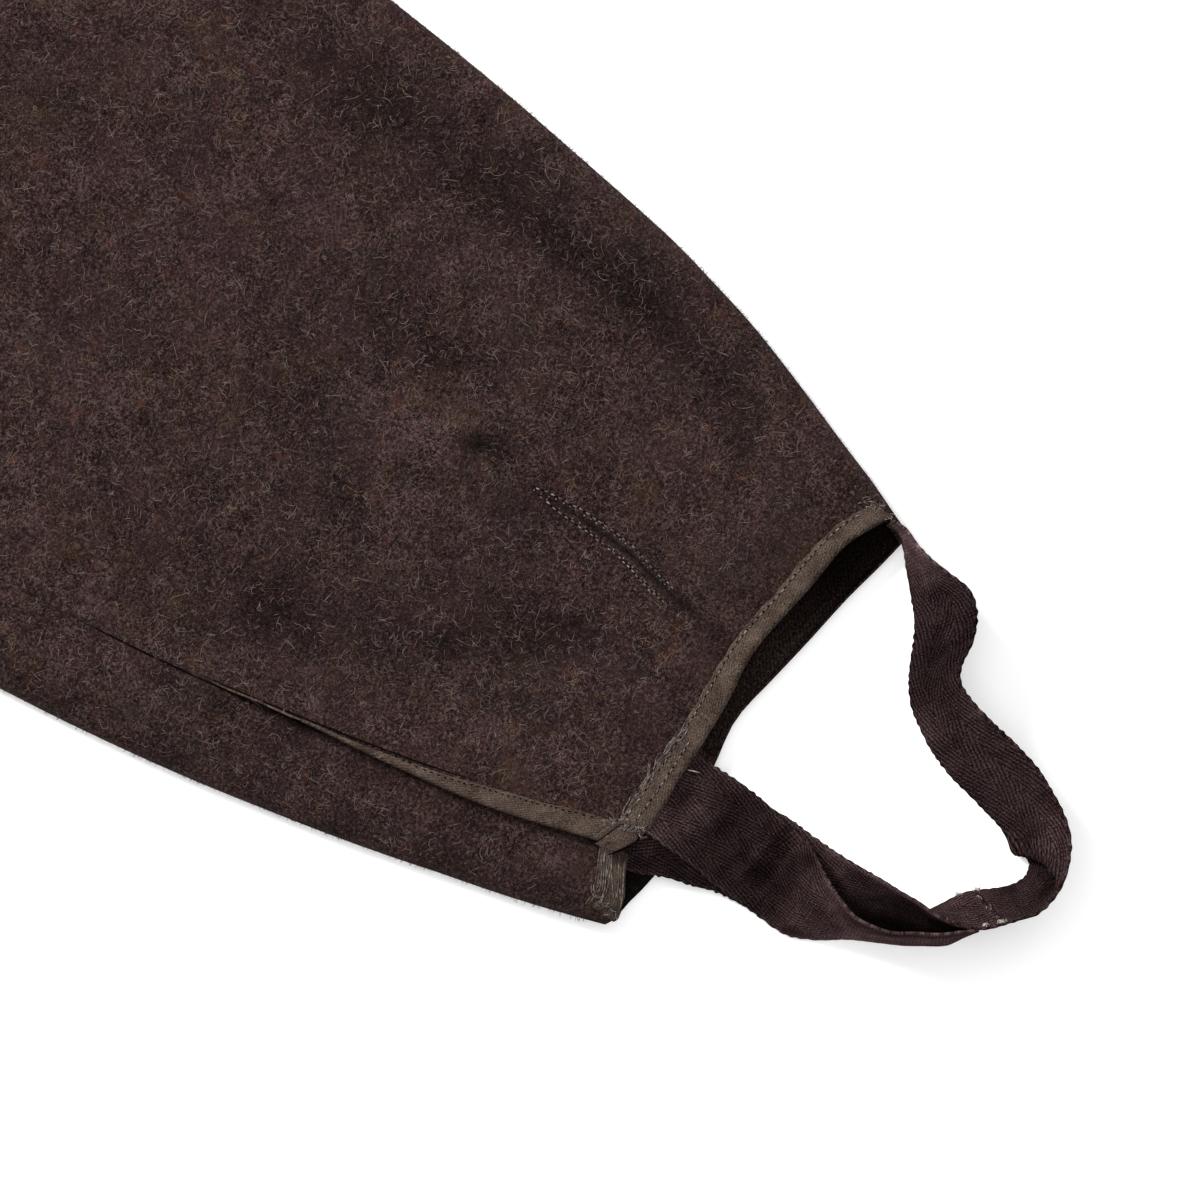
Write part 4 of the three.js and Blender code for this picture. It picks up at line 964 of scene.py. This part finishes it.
def strands(name, paths, radius, material, sides=2):
    """Threads along paths of points in mm: flat ribbons turned up, or round tubes of a few sides,
    tapering to their two ends."""
    count, steps = paths.shape[:2]
    way = unit(np.gradient(paths, axis=1))
    across = unit(np.cross(way, np.array([0.0, 0.0, 1.0])))
    over = np.cross(across, way)
    taper = 1 - 0.75 * np.abs(np.linspace(-1, 1, steps)) ** 4
    reach = np.broadcast_to(np.asarray(radius, dtype=float).reshape(-1, 1), (count, steps)) * taper
    turn = np.arange(sides) * 2 * np.pi / sides
    ring = across[:, :, None] * np.cos(turn)[:, None] + over[:, :, None] * np.sin(turn)[:, None]
    points = paths[:, :, None] + ring * reach[..., None, None]
    index = np.arange(count * steps * sides).reshape(count, steps, sides)
    if sides == 2:
        quads = np.stack([index[:, :-1, 0], index[:, 1:, 0], index[:, 1:, 1], index[:, :-1, 1]], axis=-1)
    else:
        after = np.roll(index, -1, axis=2)
        quads = np.stack([index[:, :-1], after[:, :-1], after[:, 1:], index[:, 1:]], axis=-1)
    return mesh_object(name, points.reshape(-1, 3) * MM, quads.reshape(-1, 4), material)


def mitre_grid(side):
    """Small folded tab: a sheet between the mitre's fold line and its rounded lower edge, with a
    slight swell, lying over the vent's tape."""
    fold = np.linspace(0, 1, 14)
    first, last = np.array(MITRE_FOLD)
    upper = first + (last - first) * fold[:, None]
    run = np.linspace(0, 1, len(MITRE_EDGE))
    lower = np.stack([along(np.stack([run, line], axis=1), fold) for line in zip(*MITRE_EDGE)], axis=-1)
    t = np.linspace(0, 1, 10)[None, :, None]
    flat = upper[:, None] * (1 - t) + lower[:, None] * t
    x, y = leg_plan(flat[..., 0], flat[..., 1])
    swell = np.sin(np.pi * np.linspace(0, 1, 10))[None, :] * np.sin(np.pi * fold)[:, None]
    return placed(side, x, y, MITRE_Z + 0.75 + 0.35 * swell), flat * MM


def on_strip(a, v, off, side):
    """Points over the side strip, at a distance above the middle of its cloth."""
    a, v = np.broadcast_arrays(a, v)
    return placed(side, *past_hem(a, v, SIDE_STRIP_HEM), strip_z(a, np.maximum(v, 0)) + off)


# Dark strands of painted shade: at the stitches' holes, in the vent's gaps, along folded edges and seams
shade_thread = speckled("painted_shade_thread", 900.0, [
    (0.3, (0.0015, 0.001, 0.001)), (0.7, (0.006, 0.004, 0.0035))], Roughness=1.0, Specular_IOR_Level=0.0)

for word, side in SIDES:
    grid, tape_uv = mitre_grid(side)
    tab = shell(f"mitre_tab_{word}", grid, BINDING_WALL, cotton, tape_uv)
    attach(tab, "root")

    # dark lines of painted shade along the fold across the tab and under the turned edges below the tab
    # and the vent's tape
    lines = []
    for first, last, off in ((*MITRE_FOLD, 1.25), ((59.6, 17.2), (53.6, 13.6), 1.35)):
        t = np.linspace(0, 1, 24)
        x, y = leg_plan(first[0] + (last[0] - first[0]) * t, first[1] + (last[1] - first[1]) * t)
        lines.append(placed(side, x, y, MITRE_Z + off + 0 * x))
    t = np.linspace(0, len(TURNED_EDGE) - 1, 24)
    x, y = leg_plan(*[np.interp(t, np.arange(len(line)), line) for line in zip(*TURNED_EDGE)])
    lines.append(placed(side, x, y, MITRE_Z + 0.1 + 0 * x))
    creases = strands(f"mitre_shade_lines_{word}", np.stack(lines), [0.17, 0.10, 0.30], shade_thread, 5)
    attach(creases, "root")

    a = np.linspace(*TAIL_A, 30)[:, None]
    v = np.linspace(*TAIL_UP, 14)[None, :] + 0.35 * drift(a, 0 * a, 6, 3)
    off = CLOTH / 2 + 0.5 + 0.12 * drift(a, v, 5, 4)
    tail_uv = np.stack(np.broadcast_arrays(a, v), axis=-1) * MM
    tail_tone = 0.88 - 0.42 * ease((a - 68) / 7) + 0.22 * drift(a, v, 4, 6)
    tail = shell(f"tape_tail_{word}", on_strip(a, v, off, side), 0.6, cotton, tail_uv, tail_tone)
    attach(tail, "root")

# The sewing and the loose threads: light grey thread in two rows beside the dart, in one row along
# the tapes and a second near the corner, with pale frayed ends where the tapes were cut.
STITCH_PITCH = 2.5
STITCH_LENGTH = 1.45
TAPE_STITCH = 1.5
# length of the dashes of painted shade at the stitches' holes
SHADE_DASH_LENGTH = 0.9
DART_ROWS = [
    [(98, -22.9), (84, -24.9), (72, -25.0), (60, -24.4), (47, -21.8), (36, -20.4)],
    [(96, -21.3), (84, -20.5), (73, -20.1), (62, -19.2), (53.5, -17.7), (45, -15.9), (36, -15.2)],
]


def on_front(a, v, off, side):
    """Points over the front, at a distance above the middle of its cloth."""
    a, v = np.broadcast_arrays(a, v)
    return placed(side, *past_hem(a, v, FRONT_HEM), front_z(a, np.maximum(v, 0), side) + off)


def stitch_paths(a, v, length, off, rise, side, shift, seed):
    """Stitches at even steps along a line of points, from a share of the first step: each a short arc
    standing on the cloth, a little out of line."""
    run = np.concatenate([[0], np.hypot(np.diff(a), np.diff(v)).cumsum()])
    dice = np.random.default_rng(seed)
    at = np.arange(STITCH_PITCH * shift, run[-1] - length, STITCH_PITCH)
    at = at + dice.uniform(-0.25, 0.25, len(at))
    t = np.linspace(0, 1, 7)[None, :]
    spot = at[:, None] + length * t
    spot_a = np.interp(spot, run, a) + dice.uniform(-0.18, 0.18, len(at))[:, None]
    spot_v = np.interp(spot, run, v)
    off = np.interp(spot, run, np.broadcast_to(off, run.shape)) + rise * np.sin(np.pi * t)
    return on_front(spot_a, spot_v, off, side)


def curl_paths(a, v, heading, length, curl, height, steps=9):
    """Plan paths of loose fibres: each turns at its own even rate and arches up to its height."""
    t = np.linspace(0, 1, steps)[None, :]
    angle = heading[:, None] + curl[:, None] * length[:, None] * t
    step = length[:, None] / (steps - 1)
    da = np.concatenate([0 * step, (np.cos(angle[:, :-1]) * step).cumsum(axis=1)], axis=1)
    dv = np.concatenate([0 * step, (np.sin(angle[:, :-1]) * step).cumsum(axis=1)], axis=1)
    return a[:, None] + da, v[:, None] + dv, height[:, None] * np.sin(np.pi * np.clip(t * 1.1, 0, 1))


pale_thread, tree, shader = new_material("pale_thread", Roughness=0.85, Specular_IOR_Level=0.1)
place = place_on(tree)
surface(tree, shader, ramp(tree, noise(tree, place, 620.0, 3.0, 0.6), [
    (0.34, (0.036, 0.025, 0.021)), (0.50, (0.105, 0.082, 0.072)), (0.64, (0.22, 0.188, 0.168))]),
    noise(tree, place, 3000.0), 0.5, 0.0001)
tape_edge_cotton = speckled("tape_edge", 700.0, [
    (0.35, (0.012, 0.008, 0.006)), (0.65, (0.090, 0.065, 0.048))], 3.0, 0.6, Roughness=1.0,
    Specular_IOR_Level=0.0)


def drawn(dice, kind, first, second, count):
    """Random numbers: evenly between two ends, bell-shaped about a mean, or evenly to either side."""
    if kind == "bell":
        return dice.normal(first, second, count)
    sign = dice.choice([-1, 1], count) if kind == "either" else 1
    return sign * dice.uniform(first, second, count)


# Frayed threads along the tape near the corner, at its raw end and at the inseam, then on the tail
# lengthwise, at its end and across it: number, ranges of across and up, heading, length, curl,
# height, steps
FRAYED = [
    (46, (18, 49), (-1.6, 0.9), ("bell", np.pi, 0.22), (2.5, 8), ("bell", 0, 0.05), (0.1, 0.5), 9),
    (60, (47.6, 50.4), (-1.2, 8.5), ("bell", 0, 1.3), (1.2, 3.4), ("bell", 0, 0.7), (0.2, 0.9), 9),
    (22, (-79.0, -74.5), (-1.5, 8.5), ("even", 0, 6.28), (1.2, 4.2), ("bell", 0, 0.8), (0.2, 1.0), 9),
    (20, (57.5, 62), (0.0, 9.6), ("bell", 0.0, 0.05), (9, 15), ("bell", 0, 0.012), (0.1, 0.5), 13),
    (11, (72.5, 75.0), (-0.5, 9.6), ("bell", 0.2, 0.8), (1.8, 4.5), ("bell", 0, 0.8), (0.3, 1.1), 13),
    (7, (69.0, 74.0), (0.5, 9.6), ("even", -0.8, 1.4), (5, 9), ("either", 0.3, 0.6), (0.4, 1.2), 13),
]
# On the tail: how far out the threads may reach, how far down, and their height off the cloth
TAIL_LIMITS = [(77.0, -9.0, 0.95), (77.2, -1.2, 0.9), (77.2, -1.0, 1.0)]

tape_top = BINDING_OFF + BINDING_WALL / 2
for word, side in SIDES:
    # light: the stitches' thread; dark: dashes of painted shade at their holes
    light, dark = [], []
    for number, line in enumerate(DART_ROWS):
        v = np.linspace(line[-1][0], line[0][0], 60)
        a = along(line[::-1], v)
        light.append(stitch_paths(a, v, STITCH_LENGTH, CLOTH / 2 + 0.10, 0.28, side, 0.0, 5 + number))
        dark.append(stitch_paths(a, v, SHADE_DASH_LENGTH, CLOTH / 2 + 0.03, 0.02, side, 0.64, 5 + number))
        light.append(stitch_paths(
            a + (0.9, -0.9)[number], v, 0.5, CLOTH / 2 + 0.04, 0.10, side, 0.5, 15 + number))
    # a line of painted shade along the bottom of the dart's groove
    v = np.linspace(34, 92, 60)
    a = along([(34, -18.4), (42, -19.4), (56, -21.7), (72, -22.6), (92, -22.3)], v)
    dark.append(stitch_paths(a, v, 1.2, CLOTH / 2 - 1.5 * CREASE_DEPTH + 0.3, 0.1, side, 0.2, 17))
    a = np.linspace(-72, 48, 160)
    # the tape's row all along the hem, and the second row near the corner
    for inset, seed, a in ((1.3, 9, a), (4.6, 10, a[a > 17])):
        v, top = hem_width(a) - inset, tape_top + mitre_lift(a)
        light.append(stitch_paths(a, v, TAPE_STITCH, top, 0.10, side, 0.0, seed))
        dark.append(stitch_paths(a, v, SHADE_DASH_LENGTH, top, 0.03, side, 0.72, seed))
    # the vent tape's row, drawn only as dashes of painted shade at its holes
    v = np.linspace(14, VENT_TOP - 4, 120)
    vent_width = np.maximum(along(VENT_BINDING_SHOWS, v) - TAPE - GAP, 2.6)
    dark.append(stitch_paths(front_edge(v) - vent_width + 1.0, v, 1.1, tape_top, 0.03, side, 0.0, 11))
    sewing = strands(f"sewing_{word}", np.concatenate(light), 0.25, pale_thread, 5)
    hole_shades = strands(f"sewing_hole_shades_{word}", np.concatenate(dark), 0.24, shade_thread, 5)
    # painted shade: dark lines along the vent tape's inner edge and along the side seam's gap
    v = np.linspace(58, 152, 120)
    shown = np.maximum(np.interp(v, [58, 82, 118], [5.0, 2.6, 0.6]), 0.5)
    gap_shade_lines = [on_front(front_edge(v) - shown - 0.25, v, CLOTH / 2 + 0.05 + 0 * v, side)]
    v = np.linspace(100, 196, 120)
    out = vent_edge(v) + 0.25 + 0.3 * ease((118 - v) / 10)
    gap_shade_lines.append(on_front(out, v, CLOTH / 2 - 0.35 + 0 * v, side))
    gap_shades = strands(f"vent_gap_shade_lines_{word}", np.stack(gap_shade_lines), [0.26, 0.40], shade_thread, 5)
    v = np.linspace(112, 150, 60)
    out = vent_edge(v) - 0.25 + 0.3 * drift(v, 0 * v, 12, 2)
    tape_line = on_front(out, v, CLOTH / 2 + 0.25 + 0 * v, side)
    tape_edge = strands(f"vent_tape_edge_{word}", tape_line[None], 0.36, tape_edge_cotton, 5)
    for piece in (sewing, hole_shades, gap_shades, tape_edge):
        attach(piece, "root")

    dice = np.random.default_rng(31)
    parts = []
    for number, (count, across, up, heading, length, curl, height, steps) in enumerate(FRAYED):
        a, v = dice.uniform(*across, count), dice.uniform(*up, count)
        if number == 0:
            v = hem_width(a) + v
        a, v, rise = curl_paths(
            a, v, drawn(dice, *heading, count), dice.uniform(*length, count), drawn(dice, *curl, count),
            dice.uniform(*height, count), steps)
        if number < 3:
            a = np.maximum(a, -81.0)
            step = (mitre_lift(a) + 0.05, 1.7, -0.4 * ease((-76 - a) / 3))[number]
            parts.append(on_front(a, v, tape_top + step + rise, side))
        else:
            reach, down, off = TAIL_LIMITS[number - 3]
            parts.append(on_strip(
                np.clip(a, TAIL_A[0], reach), np.maximum(v, down), CLOTH / 2 + off + rise, side))
    for number, part in enumerate(parts):
        radius = dice.uniform(0.07, 0.15, len(part))
        frayed = strands(f"frayed_ends_{number + 1}_{word}", part, radius, pale_thread, 4)
        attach(frayed, "root")

# The join of the straps: the loop's raw end is sewn over the other two, with tufts of cut thread
# across it, and one pale thread end lies on the front strap beside the hem.
JOIN_RUN = 151.5
JOIN_SLANT = 4.0


def on_strap(grid, row, column, off):
    """Points over a strap from fractions of its grid's rows and columns, off its visible face: the
    grid's four nearest points are averaged by distance."""
    rows, columns = grid.shape[:2]
    r = np.clip(row * (rows - 1), 0, rows - 1.001)
    c = np.clip(column * (columns - 1), 0, columns - 1.001)
    i, j = r.astype(int), c.astype(int)
    u, w = (r - i)[..., None], (c - j)[..., None]
    normal = unit(np.cross(np.gradient(grid, axis=0), np.gradient(grid, axis=1)))
    normal *= np.where(normal[..., 2:3] < 0, -1, 1)

    def mixed(field):
        """Mean of a field at the four points, each by its nearness."""
        return ((field[i, j] * (1 - u) + field[i + 1, j] * u) * (1 - w)
                + (field[i, j + 1] * (1 - u) + field[i + 1, j + 1] * u) * w)
    return mixed(grid) + mixed(normal) * off[..., None]


cut_thread = speckled("cut_thread", 900.0, [
    (0.36, (0.13, 0.10, 0.09)), (0.60, (0.52, 0.46, 0.42))], 2.0, 0.6, Roughness=0.8,
    Specular_IOR_Level=0.1)
# The knots of cut thread: how many threads, range over the width, run from the join
KNOTS = [(12, 0, 0.04, 0.6), (10, 0, 0.05, 6.8), (18, 0.965, 1, -0.9), (18, 0.945, 0.98, 4.0),
         (12, 0, 1, 0.2)]

for word, side in SIDES:
    grid, uv = strap_grid(STRAP_LOOP, side, LOOP_STEPS, LOOP_STRAP_CREASES, LOOP_PLEAT)
    length = uv[-1, 0, 0] / MM
    dice = np.random.default_rng(57)
    threads, first, last, off_join = np.array(KNOTS).T
    count = int(threads.sum())
    knot = np.repeat(np.arange(len(KNOTS)), threads.astype(int))
    # one draw for each knot over all the threads, of which each knot takes its own
    share = np.array([dice.uniform(low, high, count) for low, high in zip(first, last)])
    share = share[knot, np.arange(count)]
    run = JOIN_RUN + off_join[knot] + JOIN_SLANT * (0.5 - share) * (knot == len(KNOTS) - 1)
    run = run + dice.normal(0, 0.28, count)
    pa, pv, ph = curl_paths(
        run, share * STRAP_WIDTH, dice.uniform(0, 6.28, count), dice.uniform(0.5, 1.3, count),
        dice.normal(0, 1.0, count), dice.uniform(0.3, 1.0, count))
    tufts = strands(f"join_tufts_{word}", on_strap(grid, pa / length, pv / STRAP_WIDTH, 0.5 + ph),
                    dice.uniform(0.06, 0.12, count), cut_thread, 4)
    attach(tufts, "root")
    # the seam across the join, a sunk line drawn as a dark strand of painted shade
    across = np.linspace(0.03, 0.97, 60)[None, :]
    seam_run = JOIN_RUN + np.array([[-0.4], [0.3]]) + JOIN_SLANT * (0.5 - across)
    seam_run = seam_run + 0.5 * drift(20 * across, 0 * across, 6, 8)
    seam_points = on_strap(grid, seam_run / length, across + 0 * seam_run, np.full((2, 60), 0.5))
    seam = strands(f"join_seam_{word}", seam_points, [0.16, 0.13], shade_thread, 5)
    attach(seam, "root")
    t = np.linspace(0, 1, 9)[None, :]
    x, y = leg_plan(24.9 - 1.4 * t, 8.1 - 3.7 * t + 0.4 * np.sin(np.pi * t))
    bit_path = placed(side, x, y, 7.4 + 0.5 * np.sin(np.pi * t))
    bit = strands(f"thread_end_{word}", bit_path, 0.24, cut_thread, 5)
    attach(bit, "root")

# The nap of the wool: thousands of single curled hairs, most of them grey-beige, laid over the cloth
# and standing off its folded edges.
HAIR_HALF_WIDTH = 0.046
wool_hair = speckled("wool_hair", 190.0, [
    (0.34, (0.030, 0.016, 0.0145)), (0.46, (0.090, 0.059, 0.054)), (0.56, (0.165, 0.126, 0.114)),
    (0.70, (0.125, 0.070, 0.036))], Roughness=0.8, Specular_IOR_Level=0.1)
edge_hair = speckled("edge_hair", 190.0, [
    (0.36, (0.010, 0.006, 0.006)), (0.64, (0.050, 0.034, 0.032))], Roughness=0.9,
    Specular_IOR_Level=0.0)


def hair_paths(count, low, high, side, seed):
    """Curled hairs over one leg between two heights, and their half widths: many short and few long,
    most of them turn gently and one in ten coils tightly, and none lie on a binding or in the dart."""
    dice = np.random.default_rng(seed)
    v = low + (high - low) * dice.random(count)
    inner, outer = half_widths(v)
    a = -inner + 3 + (inner + outer - 6) * dice.random(count)
    length = np.where(
        dice.random(count) < 0.08, dice.uniform(4, 8, count), 0.8 + dice.gamma(2.3, 0.70, count))
    curl = np.where(
        dice.random(count) < 0.10, dice.uniform(1.0, 2.0, count), dice.normal(0, 0.35, count))
    pa, pv, ph = curl_paths(
        a, v, dice.normal(0.7, 1.1, count), length, curl, dice.uniform(0.05, 0.6, count), 6)
    cut = front_edge(v)
    edge = cut[:, None]
    laid = on_front(np.minimum(pa, edge), pv, CLOTH / 2 + 0.06 + ph, side)
    strip = on_strip(np.clip(pa, edge, (outer - 3.5)[:, None]), pv, CLOTH / 2 + 0.06 + ph, side)
    bare = (v < 22) | (np.abs(a - cut) < 9) & (v < VENT_TOP) | (np.abs(a + 21) < 4.5) & (v < 102)
    paths = np.where((a < cut)[:, None, None], laid, strip)
    return paths[~bare], dice.uniform(0.6, 1.3, count)[~bare] * HAIR_HALF_WIDTH


def edge_fuzz(count, low, high, side, seed):
    """Short hairs that stand off the inseam and the side fold, level with the table or a little up."""
    dice = np.random.default_rng(seed)
    v = low + (high - low) * dice.random(count)
    inner, outer = half_widths(v)
    out = dice.random(count) < 0.5
    a = np.where(out, outer - 0.5, -inner + 0.5)
    heading = np.where(out, 0.0, np.pi) + dice.normal(0, 0.75, count)
    pa, pv, ph = curl_paths(
        a, v, heading, dice.uniform(0.6, 2.0, count), dice.normal(0, 0.7, count),
        dice.uniform(0, 0.6, count), 4)
    x, y = panel_plan(np.clip(pa, -170, 170), pv, BACK_HEM)
    z = (back_z(v) + FOLD_RADIUS + dice.uniform(-1.8, 2.2, count))[:, None] + ph
    return placed(side, x, y, np.maximum(z, 0.15)), dice.uniform(0.7, 1.4, count) * HAIR_HALF_WIDTH


NAP_TOP = FORK_UP - 8
for word, side in SIDES:
    for name, (paths, radius), hair in (
            ("nap_ankle", hair_paths(11000, 12, 335, side, 71 + side), wool_hair),
            ("nap_leg", hair_paths(3500, 335, NAP_TOP, side, 81 + side), wool_hair),
            ("edge_fuzz", edge_fuzz(4500, 4, NAP_TOP, side, 91 + side), edge_hair)):
        nap = strands(f"{name}_{word}", paths, radius, hair)
        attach(nap, "root")

# The waistband and fly: a double thickness of the same wool round the top, a plain closing flap
# over the centre front, and one dull four-hole horn button sewn through both.
BAND_CLOTH = 3.0
BAND_FOLD_RADIUS = 3.1
BAND_HEIGHT = 40.0
BAND_OUTER_X = 210.0
BAND_FRONT_Z = 6.2
FLY_HALF = [(75, 6), (80, 13), (92, 18.5), (130, 19), (289, 19)]
FLY_BAND_STEP = 24.0


def band_grid(side):
    """Middle surface of half the waistband: flat on the table, half a circle round the side, and
    over to the centre front, easing down to its own height."""
    height = np.linspace(SEAT_HEIGHT, SEAT_HEIGHT + BAND_HEIGHT, 16)[:, None]
    out = (height - SEAT_HEIGHT) / BAND_HEIGHT
    hip_x = HIP_SIDE_X[-1][1]
    end = hip_x + (BAND_OUTER_X - hip_x) * out - BAND_CLOTH / 2 - BAND_FOLD_RADIUS
    z = BAND_CLOTH / 2
    fold = np.linspace(0, np.pi, 13)[None, :-1]
    under = GAP / 2 + (end - GAP / 2) * np.linspace(0, 1, 41)[None, :-1]
    over = end + (GAP / 2 - end) * np.linspace(0, 1, 60)[None, :]
    x = np.concatenate([under, end + BAND_FOLD_RADIUS * np.sin(fold), over], axis=1)
    top = z + 2 * BAND_FOLD_RADIUS
    over_z = BAND_FRONT_Z + (top - BAND_FRONT_Z) * np.exp((over - end) / 20)
    over_z = over_z + 0.15 * drift(over, height, 30, 8)
    fold_z = z + BAND_FOLD_RADIUS * (1 - np.cos(fold)) + 0 * end
    zs = np.concatenate([z + 0 * under, fold_z, over_z], axis=1)
    return placed(side, x, FORK_Y + height + 0 * x, zs)


def fly_z(height):
    """Height of the closing flap's middle: on the fronts, then up a step on to the waistband."""
    top = np.array(FORK_UP + SEAT_HEIGHT - GAP)
    on_panel = upper_z(-half_widths(top)[0], top) + CLOTH + GAP + 0.4
    on_band = BAND_FRONT_Z + BAND_CLOTH / 2 + GAP + CLOTH / 2
    step = ease((height - SEAT_HEIGHT + FLY_BAND_STEP) / (FLY_BAND_STEP - 1))
    return on_panel + (on_band - on_panel) * step


for word, side in SIDES:
    band = shell(f"waistband_cloth_{word}", band_grid(side), BAND_CLOTH, wool)
    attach(band, "root")
    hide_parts(f"waistband_{word}")

height = np.linspace(FLY_HALF[0][0], FLY_HALF[-1][0], 90)[:, None]
fly_x = along(FLY_HALF, height) * np.linspace(-1, 1, 17)[None, :]
fly_grid = placed(1, fly_x, FORK_Y + height + 0 * fly_x, fly_z(height) + 0 * fly_x)
fly = shell("fly_cloth", fly_grid, CLOTH, wool)
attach(fly, "root")
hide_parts("fly_flap")

button_horn, tree, shader = new_material("button_dark", Roughness=0.45)
cloud = noise(tree, place_on(tree), 220.0, 5.0, 0.6, 1.5)
tree.links.new(ramp(tree, cloud, [
    (0.35, (0.012, 0.007, 0.005)), (0.55, (0.030, 0.018, 0.012)), (0.72, (0.060, 0.040, 0.028))]),
    shader.inputs["Base Color"])
tree.links.new(map_range(tree, cloud, 0.0, 1.0, 0.35, 0.6), shader.inputs["Roughness"])
for slot in bpy.data.objects["waist_button"].material_slots:
    slot.material = button_horn
